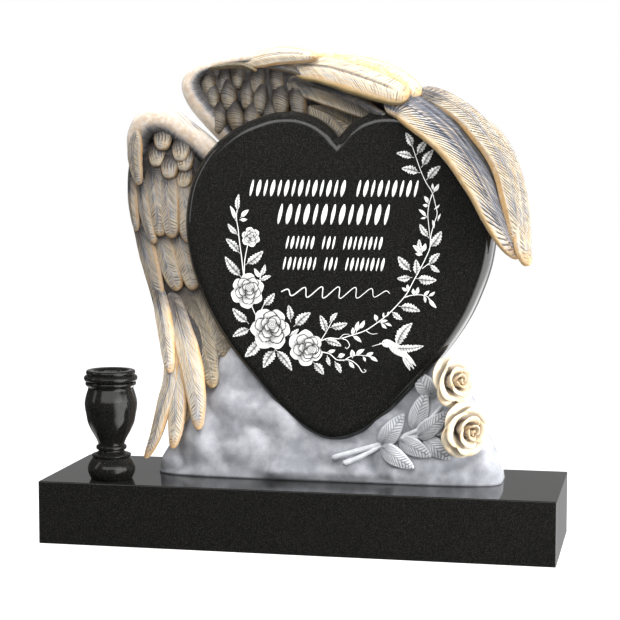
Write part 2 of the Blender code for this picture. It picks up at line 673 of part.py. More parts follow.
def main():
    """Builds the memorial in a cleared scene."""
    for old in list(bpy.data.objects):
        bpy.data.objects.remove(old)
    parts = bpy.data.collections.new("heart_headstone")
    helpers = bpy.data.collections.new("cutters_and_shapes")
    sprig = bpy.data.collections.new("sprig_shapes")
    for collection in (parts, helpers):
        bpy.context.scene.collection.children.link(collection)
    helpers.children.link(sprig)

    granite = material("polished black granite", (0.010, 0.010, 0.010), 0.10)
    stone = material("grey carved stone", (0.38, 0.39, 0.41), 0.65)
    patina = material("gold and grey patina", (0.50, 0.38, 0.22), 0.50)
    cream = material("cream rose", (0.75, 0.62, 0.38), 0.55)

    make_base(parts, granite)
    make_vase(parts, granite)

    heart = heart_solid("heart_tablet", parts, 0.0)
    heart.data.materials.append(granite)
    round_off(heart)
    heart_seat = hide(heart_solid("heart_seat", helpers, JOINT_GAP))

    left = left_wing(parts, helpers, patina)
    upper = upper_wing(parts, helpers, patina)
    left_seat = seat_of(left, helpers, WING_BED)
    upper_seat = seat_of(upper, helpers, WING_BED)

    rock = make_rock_lump(parts, stone)
    make_sprig(sprig)
    join_all(rock, sprig)

    roses = (
        ("rose_upper", UPPER_ROSE_PLACE, UPPER_ROSE_ABOVE_BASE, UPPER_ROSE_DIAMETER),
        ("rose_lower", LOWER_ROSE_PLACE, LOWER_ROSE_ABOVE_BASE, LOWER_ROSE_DIAMETER),
    )
    other_seats = [heart_seat]
    for name, place, height, diameter in roses:
        middle = Vector((*place, BASE_TOP + height))
        rose = rose_solid(name, parts, middle, diameter, 0.0, cream)
        for seat in other_seats:
            boolean(rose, seat, "DIFFERENCE")
        seat = hide(rose_solid(f"{name}_seat", helpers, middle, diameter, JOINT_GAP))
        boolean(rock, seat, "DIFFERENCE")
        other_seats.append(seat)

    boolean(left, heart_seat, "DIFFERENCE")
    boolean(upper, heart_seat, "DIFFERENCE")
    boolean(upper, left_seat, "DIFFERENCE")
    boolean(rock, heart_seat, "DIFFERENCE")
    boolean(rock, left_seat, "DIFFERENCE")
    boolean(rock, upper_seat, "DIFFERENCE")


main()
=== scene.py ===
"""Heart headstone: the finish of a carved memorial.

A polished black heart is set in a carved grey rock, between a folded wing and a wing that shelters it,
with two roses on a cut sprig and a turned vase, all on a polished slab.
Metres, +Z up. +X is to the right of someone who reads the stone, and +Y points away from them.
"""

import math
from dataclasses import dataclass, replace

import bmesh
import bpy
import numpy as np
from mathutils import Matrix, Vector, noise


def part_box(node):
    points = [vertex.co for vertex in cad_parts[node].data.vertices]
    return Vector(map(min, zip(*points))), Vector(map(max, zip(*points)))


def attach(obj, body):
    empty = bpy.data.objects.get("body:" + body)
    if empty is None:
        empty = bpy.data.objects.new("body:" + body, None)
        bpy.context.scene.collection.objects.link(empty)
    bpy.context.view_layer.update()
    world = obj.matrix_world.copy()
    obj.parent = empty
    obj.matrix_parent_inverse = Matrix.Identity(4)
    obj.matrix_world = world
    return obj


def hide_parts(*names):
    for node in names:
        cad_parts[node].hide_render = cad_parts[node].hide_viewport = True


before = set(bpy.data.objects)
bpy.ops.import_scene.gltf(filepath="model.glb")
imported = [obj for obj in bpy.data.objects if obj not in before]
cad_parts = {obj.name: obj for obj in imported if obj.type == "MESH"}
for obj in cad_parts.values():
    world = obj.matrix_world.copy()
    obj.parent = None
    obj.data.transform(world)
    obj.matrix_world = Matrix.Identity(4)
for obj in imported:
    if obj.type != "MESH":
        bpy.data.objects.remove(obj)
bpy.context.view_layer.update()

bl_info = {
    "name": "Heart headstone",
    "version": (1, 0, 0),
    "blender": (4, 5, 0),
    "location": "View3D > Sidebar > Headstone",
    "description": "Carves and finishes a heart headstone with two wings, roses and a vase",
    "category": "Object",
}

# Places read from the frame
SLAB_LOW, SLAB_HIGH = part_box("base_slab")
HEART_LOW, HEART_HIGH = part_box("heart_tablet")
VASE_LOW, VASE_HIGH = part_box("flower_vase")
HEART_X = (HEART_LOW.x + HEART_HIGH.x) / 2
HEART_Y = (HEART_LOW.y + HEART_HIGH.y) / 2
HEART_TIP_Z = HEART_LOW.z
HEART_FACE_Y = HEART_LOW.y
SEAT_Z = VASE_LOW.z

# Sizes that the frame's boxes don't give
HEART_WIDTH = 0.737
HEART_HEIGHT = 0.760
HEART_THICKNESS = 0.080
HEART_FACE_INSET = 0.0012
ROCK_LENGTH = 0.835
ROCK_HEIGHT = 0.600
ROCK_CENTRE_X = 0.051
ROCK_BACK = 0.140
ROCK_TOP_BACK = 0.081
ROCK_FOOT_FORWARD = 0.060
ROCK_FOOT_HEIGHT = 0.216
ROCK_FRONT_AT_HEART = 0.046
ROCK_CROWN = 0.035

# Half of the heart's outline, from the cleft round to the tip: (share of half the width, share of the height)
HEART_HALF_OUTLINE = (
    (0.000, 0.925), (0.060, 0.957), (0.180, 0.992), (0.340, 1.004), (0.520, 0.986), (0.740, 0.930),
    (0.915, 0.832), (0.993, 0.715), (0.990, 0.590), (0.915, 0.455), (0.765, 0.315), (0.522, 0.170),
    (0.290, 0.055), (0.110, -0.002), (0.000, -0.012),
)
# How far the heart's tip leans to the left, as a share of half its width
HEART_TIP_LEAN = -0.018

# The rock's ends: (share of the rock's height, left end, right end), ends as shares of half its length
ROCK_ENDS = (
    (0.00, 1.000, 1.000), (0.06, 0.975, 0.988), (0.18, 0.875, 0.905), (0.32, 0.770, 0.820),
    (0.47, 0.655, 0.625), (0.57, 0.530, 0.520), (0.80, 0.480, 0.480), (0.93, 0.380, 0.390),
    (1.00, 0.250, 0.270),
)

# The vase's turned members, top to bottom, as (share of half the lip's width, share of the height):
# lip, ring, bead, body, collar, flare and foot, with a crease between one and the next
VASE_MEMBERS = (
    ((0.87, 1.000), (0.905, 0.994), (0.92, 0.977), (0.89, 0.957)),
    ((0.89, 0.957), (0.975, 0.946), (1.00, 0.927), (0.975, 0.908), (0.90, 0.896)),
    ((0.90, 0.896), (0.94, 0.886), (0.94, 0.868), (0.865, 0.850)),
    ((0.865, 0.850), (0.848, 0.832), (0.91, 0.784), (0.975, 0.716), (0.975, 0.660), (0.925, 0.590),
     (0.87, 0.518), (0.74, 0.445), (0.60, 0.385), (0.505, 0.335), (0.49, 0.312)),
    ((0.49, 0.312), (0.555, 0.304), (0.57, 0.289), (0.555, 0.274), (0.48, 0.264)),
    ((0.48, 0.264), (0.50, 0.250), (0.60, 0.236), (0.72, 0.226), (0.735, 0.214), (0.69, 0.196)),
    ((0.69, 0.196), (0.76, 0.176), (0.85, 0.140), (0.893, 0.101), (0.875, 0.060), (0.80, 0.015),
     (0.76, 0.000)),
)


def tint(red, green, blue):
    """A colour as seen on a screen, 0 to 255, as Blender's linear values."""
    shares = (channel / 255 for channel in (red, green, blue))
    return tuple(c / 12.92 if c <= 0.04045 else ((c + 0.055) / 1.055) ** 2.4 for c in shares)


def ease(low, high, values):
    """0 below low, 1 above high, and a smooth step between."""
    t = np.clip((np.asarray(values, float) - low) / (high - low), 0.0, 1.0)
    return t * t * (3 - 2 * t)


def heart_point(across, up, back):
    """A place in shares of the heart: half its width, its height from the tip, its depth from its middle."""
    return (
        HEART_X + across * HEART_WIDTH / 2,
        HEART_Y + back * HEART_THICKNESS,
        HEART_TIP_Z + up * HEART_HEIGHT,
    )


def heart_points(points):
    """Several places given in shares of the heart."""
    return [heart_point(*point) for point in points]


def curve_through(points, knots):
    """Places on a smooth curve through points, at these knots from 0 to 1."""
    last = len(points) - 1
    place = np.clip(knots, 0.0, 1.0) * last
    start = np.minimum(place.astype(int), last - 1)
    t = (place - start)[:, None]
    a = points[np.maximum(start - 1, 0)]
    b = points[start]
    c = points[start + 1]
    d = points[np.minimum(start + 2, last)]
    bent = (2 * a - 5 * b + 4 * c - d) * t**2 + (3 * b - a - 3 * c + d) * t**3
    return 0.5 * (2 * b + (c - a) * t + bent)


class Spine:
    """The line that a feather, limb or leaf follows, walked by its real length."""

    def __init__(self, points, roll=0.0):
        self.points = np.asarray(points, float)
        self.roll = math.radians(roll)
        self.knots = np.linspace(0, 1, 500)
        steps = np.diff(curve_through(self.points, self.knots), axis=0)
        walked = np.concatenate([[0.0], np.cumsum(np.linalg.norm(steps, axis=1))])
        self.length = walked[-1]
        self.walked = walked / self.length

    def knot(self, share):
        """The curve's knot at each share of the length."""
        return np.interp(share, self.walked, self.knots)

    def frame(self, share):
        """Place, side and face directions at each share of the length."""
        knot = self.knot(share)
        ahead = curve_through(self.points, knot + 0.02) - curve_through(self.points, knot - 0.02)
        forward = ahead / np.linalg.norm(ahead, axis=1, keepdims=True)
        facing = np.array([math.sin(self.roll), -math.cos(self.roll), 0.0])
        side = np.cross(np.broadcast_to(facing, forward.shape), forward)
        side /= np.linalg.norm(side, axis=1, keepdims=True)
        return curve_through(self.points, knot), side, np.cross(forward, side)


def mesh_of(bm, name):
    """A new mesh from a bmesh, which is freed."""
    mesh = bpy.data.meshes.new(name)
    bm.to_mesh(mesh)
    bm.free()
    return mesh


def sleeve(name, columns, rows):
    """A closed sleeve cut into rows: its mesh, each point's column, and each point's share of the length."""
    bm = bmesh.new()
    bmesh.ops.create_cone(bm, cap_ends=True, segments=columns, radius1=1, radius2=1, depth=2)
    uprights = [edge for edge in bm.edges if abs(edge.verts[0].co.z - edge.verts[1].co.z) > 1]
    bmesh.ops.subdivide_edges(bm, edges=uprights, cuts=rows - 1)
    mesh = mesh_of(bm, name)
    places = points_of(mesh)
    turn = (np.arctan2(places[:, 0], places[:, 1]) / math.tau) % 1.0
    return mesh, np.rint(turn * columns).astype(int) % columns, (places[:, 2] + 1) / 2


def flat_grid(name, columns, rows):
    """A flat grid's mesh, with each point's place from -1 to 1 across and 0 to 1 along."""
    bm = bmesh.new()
    bmesh.ops.create_grid(bm, x_segments=columns, y_segments=rows, size=1)
    mesh = mesh_of(bm, name)
    places = points_of(mesh)
    return mesh, places[:, 0], (places[:, 1] + 1) / 2


def points_of(mesh):
    """The places of a mesh's points."""
    flat = np.empty(len(mesh.vertices) * 3, np.float32)
    mesh.vertices.foreach_get("co", flat)
    return flat.reshape(-1, 3).astype(float)


def shape_mesh(mesh, places, **marks):
    """Moves a mesh's points and stores each mark, one number a point, for its material to read."""
    mesh.vertices.foreach_set("co", places.astype(np.float32).ravel())
    for name, values in marks.items():
        layer = mesh.attributes.new(name, "FLOAT", "POINT")
        layer.data.foreach_set("value", np.broadcast_to(values, len(places)).astype(np.float32))
    mesh.update()
    return mesh


def joined(name, meshes, finish, smooth_angle=None):
    """One object from several meshes, in the scene, with its material."""
    made = []
    for mesh in meshes:
        mesh.shade_smooth()
        piece = bpy.data.objects.new(mesh.name, mesh)
        bpy.context.scene.collection.objects.link(piece)
        made.append(piece)
    first = made[0]
    if len(made) > 1:
        with bpy.context.temp_override(active_object=first, selected_editable_objects=made):
            bpy.ops.object.join()
    first.name = first.data.name = name
    first.data.materials.clear()
    first.data.materials.append(finish)
    if smooth_angle:
        first.data.set_sharp_from_angle(angle=math.radians(smooth_angle))
    return first


def dress(piece, slot, *nodes):
    """The piece rides on the memorial and stands for the nodes; the slot is not used."""
    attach(piece, "root")
    if nodes:
        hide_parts(*nodes)


# Shader helpers


def place_node(tree, kind, inputs=None, **settings):
    """Adds a node: a socket given as an input is linked, and anything else is set."""
    made = tree.nodes.new(kind)
    for name, value in settings.items():
        setattr(made, name, value)
    for key, value in (inputs or {}).items():
        if isinstance(value, bpy.types.NodeSocket):
            tree.links.new(value, made.inputs[key])
        else:
            made.inputs[key].default_value = value
    return made


def mixed(tree, share, first, second):
    """A blend of two colours."""
    made = place_node(tree, "ShaderNodeMix", data_type="RGBA")
    for index, value in ((0, share), (6, first), (7, second)):
        if isinstance(value, bpy.types.NodeSocket):
            tree.links.new(value, made.inputs[index])
        else:
            made.inputs[index].default_value = value
    return made.outputs[2]


def reckoned(tree, operation, first, second, clamp=False):
    """A sum, product or other reckoning of two values."""
    made = place_node(tree, "ShaderNodeMath", {0: first, 1: second}, operation=operation, use_clamp=clamp)
    return made.outputs[0]


def product(tree, first, second):
    """One value times another."""
    return reckoned(tree, "MULTIPLY", first, second)


def total(tree, first, second, clamp=False):
    """Two values together, kept between 0 and 1 where asked."""
    return reckoned(tree, "ADD", first, second, clamp)


def ranged(tree, value, low, high, new_low=0.0, new_high=1.0):
    """A value moved from one range to another, with smooth ends."""
    inputs = {"Value": value, "From Min": low, "From Max": high, "To Min": new_low, "To Max": new_high}
    made = place_node(tree, "ShaderNodeMapRange", inputs, interpolation_type="SMOOTHSTEP")
    return made.outputs["Result"]


def object_place(tree):
    """Where a surface point lies on its piece."""
    return tree.nodes.new("ShaderNodeTexCoord").outputs["Object"]


def cloud(tree, coordinates, scale, detail, stretch=None):
    """Noise of this many swells a metre, stretched along an axis where asked."""
    if stretch:
        inputs = {"Vector": coordinates, "Scale": stretch}
        coordinates = place_node(tree, "ShaderNodeMapping", inputs).outputs["Vector"]
    inputs = {"Vector": coordinates, "Scale": scale, "Detail": detail}
    return place_node(tree, "ShaderNodeTexNoise", inputs).outputs["Fac"]


def new_group(name, inputs, outputs):
    """An empty shader group with its sockets: (name, kind, default) in and (name, kind) out."""
    group = bpy.data.node_groups.new(name, "ShaderNodeTree")
    for label, kind, default in inputs:
        socket = group.interface.new_socket(label, in_out="INPUT", socket_type=kind)
        socket.default_value = default
    for label, kind in outputs:
        group.interface.new_socket(label, in_out="OUTPUT", socket_type=kind)
    return group, group.nodes.new("NodeGroupInput").outputs, group.nodes.new("NodeGroupOutput").inputs


def grain_group():
    """Granite: fine grey flecks and a few warm ones in a dark ground."""
    group, given, out = new_group(
        "granite_grain",
        [("Ground", "NodeSocketColor", (0.01, 0.01, 0.01, 1)),
         ("Fleck", "NodeSocketColor", (0.1, 0.1, 0.1, 1))],
        [("Color", "NodeSocketColor")],
    )
    where = object_place(group)

    def crystals(scale, channel):
        """Cells of this many a metre, each with a random value of its own."""
        cells = place_node(group, "ShaderNodeTexVoronoi", {"Vector": where, "Scale": scale}).outputs["Color"]
        return place_node(group, "ShaderNodeSeparateColor", {0: cells}).outputs[channel]

    fleck = ranged(group, crystals(620, 0), 0.30, 1.0, 0.0, 0.42)
    glint = ranged(group, crystals(540, 1), 0.95, 0.99, 0.0, 0.18)
    colour = mixed(group, fleck, given["Ground"], given["Fleck"])
    colour = mixed(group, glint, colour, (*tint(92, 88, 80), 1))
    group.links.new(colour, out["Color"])
    return group


def stone_group():
    """Carved grey stone: soft clouds of pale and dark, with a fine sugary grain, and painted shade that
    darkens its grooves and creases.
    """
    group, given, out = new_group(
        "carved_stone",
        [("Dark", "NodeSocketColor", (0.2, 0.2, 0.2, 1)), ("Pale", "NodeSocketColor", (0.6, 0.6, 0.6, 1)),
         ("Groove", "NodeSocketFloat", 0.0)],
        [("Color", "NodeSocketColor"), ("Height", "NodeSocketFloat")],
    )
    where = object_place(group)
    broad = cloud(group, where, 7, 3)
    small = cloud(group, where, 42, 4)
    grain = cloud(group, where, 520, 2)
    clouds = total(group, product(group, broad, 0.55), product(group, small, 0.45))
    colour = mixed(group, ranged(group, clouds, 0.32, 0.66), given["Dark"], given["Pale"])
    sugar = product(group, ranged(group, grain, 0.35, 0.65), 0.16)
    colour = mixed(group, sugar, colour, (*tint(95, 98, 106), 1))
    # Painted shade: darker where the mark lies in a groove or a crease
    colour = mixed(group, given["Groove"], colour, (*tint(74, 77, 84), 1))
    group.links.new(colour, out["Color"])
    group.links.new(grain, out["Height"])
    return group


# Inputs of the wings' patina, and the marks on the mesh that they read
PATINA_MARKS = {"Groove": "groove", "Margin": "margin", "Slate share": "slate", "Hollow": "hollow",
                "Barb": "barb", "Vane": "vane"}


def patina_group():
    """Wing patina: cream to grey vanes with gold margins, slate and olive hollows, hairs and dark cuts, and
    the painted shade that the marks carry.
    """
    colours = (("Cream", (236, 214, 182)), ("Gold", (205, 160, 105)), ("Grey", (168, 172, 180)),
               ("Slate", (92, 97, 110)), ("Deep", (30, 29, 32)), ("Olive", (126, 112, 76)))
    group, given, out = new_group(
        "wing_patina",
        [(label, "NodeSocketColor", (*tint(*shade), 1)) for label, shade in colours]
        + [(label, "NodeSocketFloat", 0.0) for label in (*PATINA_MARKS, "Gilt streaks")],
        [("Color", "NodeSocketColor"), ("Height", "NodeSocketFloat")],
    )
    where = object_place(group)
    broad = cloud(group, where, 22, 3)
    small = cloud(group, where, 90, 3)
    carved = place_node(group, "ShaderNodeCombineXYZ", {0: given["Barb"], 1: given["Vane"]}).outputs[0]
    hair = cloud(group, carved, 1, 2, stretch=(3.2, 0.45, 1))
    long = cloud(group, carved, 1, 3, stretch=(0.09, 2.6, 1))
    streak = ranged(group, long, 0.36, 0.66, -0.30, 0.42)
    cool = total(group, given["Slate share"], ranged(group, broad, 0.30, 0.70, -0.15, 0.20))
    cool = total(group, cool, streak, clamp=True)
    colour = mixed(group, cool, given["Cream"], given["Grey"])
    gilt = product(group, given["Margin"], ranged(group, small, 0.30, 0.65, 0.55, 1.0))
    gilt_streak = product(group, given["Gilt streaks"], ranged(group, long, 0.34, 0.50, 1.0, 0.0))
    colour = mixed(group, total(group, gilt, gilt_streak, clamp=True), colour, given["Gold"])
    # Slate: the patina's own, and painted shade where the marks carry it
    slated = total(group, given["Slate share"], product(group, streak, 0.5))
    colour = mixed(group, ranged(group, slated, 0.50, 1.05), colour, given["Slate"])
    colour = mixed(group, given["Hollow"], colour, given["Olive"])
    rough = reckoned(group, "SUBTRACT", 1.0, given["Margin"])
    dark_hair = product(group, ranged(group, hair, 0.52, 0.68, 0.0, 0.55), rough)
    pale_hair = product(group, ranged(group, hair, 0.32, 0.45, 0.40, 0.0), rough)
    colour = mixed(group, dark_hair, colour, given["Deep"])
    colour = mixed(group, pale_hair, colour, given["Cream"])
    # Dark cuts of the patina, and painted shade where the marks carry it
    colour = mixed(group, reckoned(group, "POWER", given["Groove"], 0.75), colour, given["Deep"])
    group.links.new(colour, out["Color"])
    group.links.new(product(group, hair, rough), out["Height"])
    return group


def material(name, roughness, bump=0.0):
    """A new material: its tree, its shader and the socket that a Height feeds."""
    made = bpy.data.materials.new(name)
    made.use_nodes = True
    tree = made.node_tree
    shader = tree.nodes["Principled BSDF"]
    shader.inputs["Roughness"].default_value = roughness
    height = None
    if bump:
        bumped = place_node(tree, "ShaderNodeBump", {"Strength": 1.0, "Distance": bump})
        tree.links.new(bumped.outputs["Normal"], shader.inputs["Normal"])
        height = bumped.inputs["Height"]
    return made, tree, shader, height


def mark(tree, name):
    """The socket of a mark that the mesh's points hold."""
    return place_node(tree, "ShaderNodeAttribute", attribute_name=name).outputs["Fac"]


def granite_finish(group, settings, name, shine):
    """Polished black granite that mirrors this strongly."""
    made, tree, shader, _ = material(name, settings.polish)
    shader.inputs["Specular IOR Level"].default_value = shine
    inputs = {"Ground": (*settings.ground, 1), "Fleck": (*settings.fleck, 1)}
    grain = place_node(tree, "ShaderNodeGroup", inputs, node_tree=group)
    tree.links.new(grain.outputs["Color"], shader.inputs["Base Color"])
    return made


def carved_finish(group, name, roughness, bump, inputs):
    """A carved stone whose group gives its colour and its fine relief."""
    made, tree, shader, height = material(name, roughness, bump)
    inputs = {
        label: mark(tree, value) if isinstance(value, str) else value for label, value in inputs.items()
    }
    stone = place_node(tree, "ShaderNodeGroup", inputs, node_tree=group)
    tree.links.new(stone.outputs["Color"], shader.inputs["Base Color"])
    tree.links.new(stone.outputs["Height"], height)
    return made


def stone_finish(group, name, dark, pale):
    """Carved grey stone, with painted shade in its grooves and creases."""
    inputs = {"Groove": "groove", "Dark": (*dark, 1), "Pale": (*pale, 1)}
    return carved_finish(group, name, 0.62, 0.0006, inputs)


def patina_finish(group, name, roughness, shades, streaks=0.65):
    """The wings' tinted stone, with this much gilt in streaks along its vanes."""
    inputs = PATINA_MARKS | {"Gilt streaks": streaks}
    inputs |= {label: (*colour, 1) for label, colour in shades.items()}
    return carved_finish(group, name, roughness, 0.0011, inputs)


def engraving_finish(settings):
    """Frosted engraving: white where the point struck full, grey where it was shaded."""
    made, tree, shader, _ = material("frosted_engraving", 0.75)
    colour = mixed(tree, mark(tree, "tone"), (*tint(26, 26, 25), 1), (*settings.white, 1))
    tree.links.new(colour, shader.inputs["Base Color"])
    return made


# Feathers


@dataclass(frozen=True)
class Carving:
    """How a kind of feather or leaf is carved. Lengths are in metres, and shares are of half the width."""

    thickness: float = 0.012
    camber: float = 0.006  # how far the face bows out
    pitch: float = 0.009  # from one barb to the next
    lean: float = 1.3  # how far the barbs rise from the rachis to the edge
    sweep: float = 0.0  # how far they slant from the left edge to the right one
    bend: float = 0.8  # how they curve: 1 is straight
    depth: float = 0.0012  # of the cuts between barbs
    fine: float = 0.17  # half width of a cut, as a share of the pitch
    start: float = 0.12  # where the cuts begin, from the rachis
    reach: float = 0.72  # where they end
    wear: float = 0.65  # how uneven they are
    hair: float = 0.45  # strength of the hairs between cuts
    even: bool = False  # all barbs alike
    streaks: int = 0  # grooves along the feather, in place of barbs
    rachis: float = 0.0  # where it lies, from -1 at the left edge to 1 at the right
    quill: float = 0.0022  # half width of the quill at its root
    quill_depth: float = 0.0010  # of the line on each side of the quill
    lip: float = 0.0012  # height of the rounded lip inside the edge
    root: float = 0.6  # width at the root, as a share of the widest
    tip: float = 5.0  # how blunt the tip is: a high power is square
    leaf: bool = False  # a leaf's outline
    # Painted shade on the side under the next feather: plain, slate and a little darker
    shaded_plain_right: bool = False  # slate with a few furrows at the right of the rachis
    dip: float = 0.0  # how far that plain side falls back
    margin: float = 0.32  # width of the gold margin
    grey: float = 0.35  # how grey the vanes are along the rachis
    slate: float = 0.0  # how slate they are all over
    far: float = 0.0  # how slate the right side is
    hollow: float = 0.0  # how olive the whole is
    # the next one paints the left edge olive: partly the patina's own colour, partly painted shade on the
    # underside
    under: float = 0.0  # how olive the left edge is
    # the next two set a painted shadow at the root
    shadow: float = 0.0  # how dark the root is
    shadow_reach: float = 0.42  # share of the length that this darkness covers
    front: int = 30  # columns of points over the face
    back: int = 6  # columns of points over the back
    rows_per_barb: int = 6


PRIMARY = Carving(
    thickness=0.016, camber=0.010, pitch=0.0100, lean=2.2, depth=0.0022, reach=0.66, lip=0.0024, margin=0.42,
    front=36, rows_per_barb=9, shadow=0.35, shadow_reach=0.2, wear=0.55, fine=0.12,
)
# Long coverts lie on top of the wing: slate below zero makes them whiter, partly their own paler tint and
# partly a painted highlight from above
LONG_COVERT = Carving(
    thickness=0.015, camber=0.010, pitch=0.0056, depth=0.0009, reach=0.74, lean=1.6, lip=0.0018, shadow=0.25,
    shadow_reach=0.15, wear=0.85, margin=0.30, slate=-0.35,
)
COVERT = Carving(
    thickness=0.013, camber=0.009, pitch=0.0056, depth=0.0010, reach=0.80, lean=2.2, front=24,
    rows_per_barb=5, tip=3.0, grey=0.5, shadow=0.6, wear=0.85, far=0.1,
)
EDGE_COVERT = replace(COVERT, tip=2.4)
QUILL = replace(
    COVERT, thickness=0.015, camber=0.008, pitch=0.0064, depth=0.0012, reach=0.78, lean=2.6, front=26,
    tip=2.8, far=0.15,
)
REAR_QUILL = replace(QUILL, slate=0.3, margin=0.05, hollow=0.6)
RIDGE = Carving(
    thickness=0.012, camber=0.007, pitch=0.008, depth=0.0002, reach=0.6, hair=0.2, quill_depth=0.0,
    margin=0.5, front=18, rows_per_barb=3, shadow=0.2,
)
INNER = Carving(
    thickness=0.010, camber=0.004, pitch=0.0052, depth=0.0010, reach=0.92, lean=1.8, slate=0.10, margin=0.14,
    hollow=0.15, front=22, rows_per_barb=5, shadow=0.3, rachis=0.3,
)
LOBE = Carving(
    thickness=0.018, camber=0.017, pitch=0.0046, depth=0.0013, reach=0.98, start=-0.1, lean=0.55, bend=1.3,
    quill_depth=0.0, grey=0.2, margin=0.22, root=0.85, tip=4.5, front=18, back=4, rows_per_barb=5, lip=0.0,
    shadow=1.0, shadow_reach=0.75, rachis=-0.7, wear=0.9,
)
SCALE = Carving(
    thickness=0.013, camber=0.010, pitch=0.006, reach=0.9, lean=1.2, quill_depth=0.0, grey=0.2, root=0.85,
    tip=3.0, front=24, back=4, streaks=13, lip=0.0015, shadow=1.0, shadow_reach=0.75,
)
# Leaves of plain grey stone: their cut veins and their roots are darkened as painted shade
LEAF = Carving(
    thickness=0.008, camber=0.005, pitch=0.0056, depth=0.0010, start=0.0, reach=0.93, lean=1.1, hair=0.0,
    quill=0.0012, quill_depth=0.0012, leaf=True, front=26, back=4, lip=0.0008, margin=0.1, even=True,
    shadow=0.25,
)

# Half width of the line beside a quill, and the tint of a feather's unseen back: its margin and its slate
QUILL_LINE = 0.0010
BACK_MARGIN = 0.25
BACK_SLATE = 0.30
# Where the lip inside a feather's edge stands and how broad it is, as shares of half the width
LIP_PLACE = 0.84
LIP_BREADTH = 0.13
# Slate of a limb's unseen back
BARE_SLATE = 0.35
# Width of the vane that one swell of the patina's pattern covers, and how far it shifts between feathers
PATTERN_WIDTH = 0.010
PATTERN_SHIFT_ALONG = 23.7
PATTERN_SHIFT_ACROSS = 7.3


def feather_width(knot, carving):
    """A blade's width along its length, as a share of its widest."""
    if carving.leaf:
        return np.sin(math.pi * np.clip(knot, 0.0, 1.0) ** 0.72) ** 0.85 + 0.03
    swell = carving.root + (1 - carving.root) * np.sin(np.minimum(knot / 0.45, 1.0) * math.pi / 2)
    rounded = np.sqrt(1 - (1 - np.minimum(knot / 0.08, 1.0)) ** 2)
    return swell * rounded * np.sqrt(np.maximum(1 - knot**carving.tip, 0.0)) + 0.01


class BladePlaces:
    """Where each point of a blade lies: on its face or its back, across it and along it."""

    def __init__(self, column, row, spine, half_width, carving):
        self.row = row
        self.front = column <= carving.front
        turn = np.where(self.front, column / carving.front, 1 - (column - carving.front) / carving.back)
        crowded = 0.45 * (2 * turn - 1) - 0.55 * np.cos(math.pi * turn)
        self.across = np.where(self.front, crowded, 2 * turn - 1)
        self.right = self.across > carving.rachis
        room = np.where(self.right, 1 - carving.rachis, 1 + carving.rachis)
        self.from_rachis = np.abs(self.across - carving.rachis) / room
        advance = carving.lean * half_width / spine.length
        slant = carving.sweep * half_width / spine.length
        ramp = max(0.10, 1.7 * max(advance, slant))
        inside = ease(0, ramp, row) * ease(0, ramp, 1 - row)
        shift = slant * self.across - advance * (1 - self.from_rachis**carving.bend)
        self.share = np.clip(row + inside * shift, 0.0, 1.0)
        self.part = feather_width(spine.knot(self.share), carving)
        self.width = half_width * self.part
        # The plain side, under the next feather, is painted as shade
        self.plain = carving.shaded_plain_right * ease(0.02, 0.25, self.across - carving.rachis)


def barb_cuts(at, carving, barbs, seed):
    """How deep each point lies in a cut and in a hair, from 0 to 1, and its barb's shift of tone."""
    draw = np.random.default_rng(seed)
    phase = at.row * barbs + np.where(at.right, 0.0, 0.5)
    barb = phase.astype(int)
    vane = at.right.astype(int)
    loose = 0.0 if carving.even else 1.0

    def uneven(low, high):
        """A random value for each barb of each vane."""
        return loose * draw.uniform(low, high, (2, barbs + 2))[vane, barb]

    strength = 1 - uneven(0.0, carving.wear)
    begin = carving.start + uneven(-0.04, 0.14)
    end = carving.reach + uneven(-0.16, 0.12)
    tone = uneven(-0.18, 0.22)
    window = ease(-0.06, 0.08, at.from_rachis - begin) * (1 - ease(-0.22, 0.02, at.from_rachis - end))
    cut = np.exp(-(((phase - barb - 0.5) / carving.fine) ** 2)) * strength * window
    hairs = 0.5 + 0.5 * np.cos(math.tau * (2 * phase + 0.25 + 0.15 * np.sin(barb * 2.4)))
    fading = 1 - ease(carving.reach, min(carving.reach + 0.2, 1.0), at.from_rachis)
    hairs = hairs**2 * ease(0.03, 0.2, at.from_rachis) * fading
    if carving.streaks:
        comb = 0.5 + 0.5 * np.cos(at.across * math.pi * carving.streaks + 2.0 * np.sin(at.share * 9 + seed))
        cut = comb**2 * (1 - ease(0.45, 0.78, at.share + 0.10 * np.sin(at.across * 17 + seed)))
        hairs = hairs * 0.3
    ends = ease(0.0, 0.05, at.share) * (1 - ease(0.93, 0.995, at.share))
    cut = cut * ends * (1 - 0.85 * at.plain)
    hairs = hairs * ends * carving.hair * (1 - 0.5 * at.plain)
    return cut, hairs, tone


def quill_line(at, carving):
    """The line on each side of the quill, from 0 to 1."""
    line_at = carving.quill * (1 - 0.6 * at.share) / np.maximum(at.width, 1e-4)
    off_line = (np.abs(at.across - carving.rachis) - line_at) * at.width
    ends = ease(0.02, 0.1, at.share) * (1 - ease(0.80, 0.93, at.share))
    return np.exp(-((off_line / QUILL_LINE) ** 2)) * ends * min(carving.quill_depth * 2000, 1.0)


def furrow_lines(at):
    """A few long furrows on the plain side."""
    furrows = 0.5 + 0.5 * np.cos(math.tau * (3.2 * at.from_rachis + 0.3 * np.sin(at.share * 5)))
    ends = ease(0.04, 0.2, at.share) * (1 - ease(0.6, 0.9, at.share + 0.3 * at.from_rachis))
    return furrows**4 * at.plain * ends


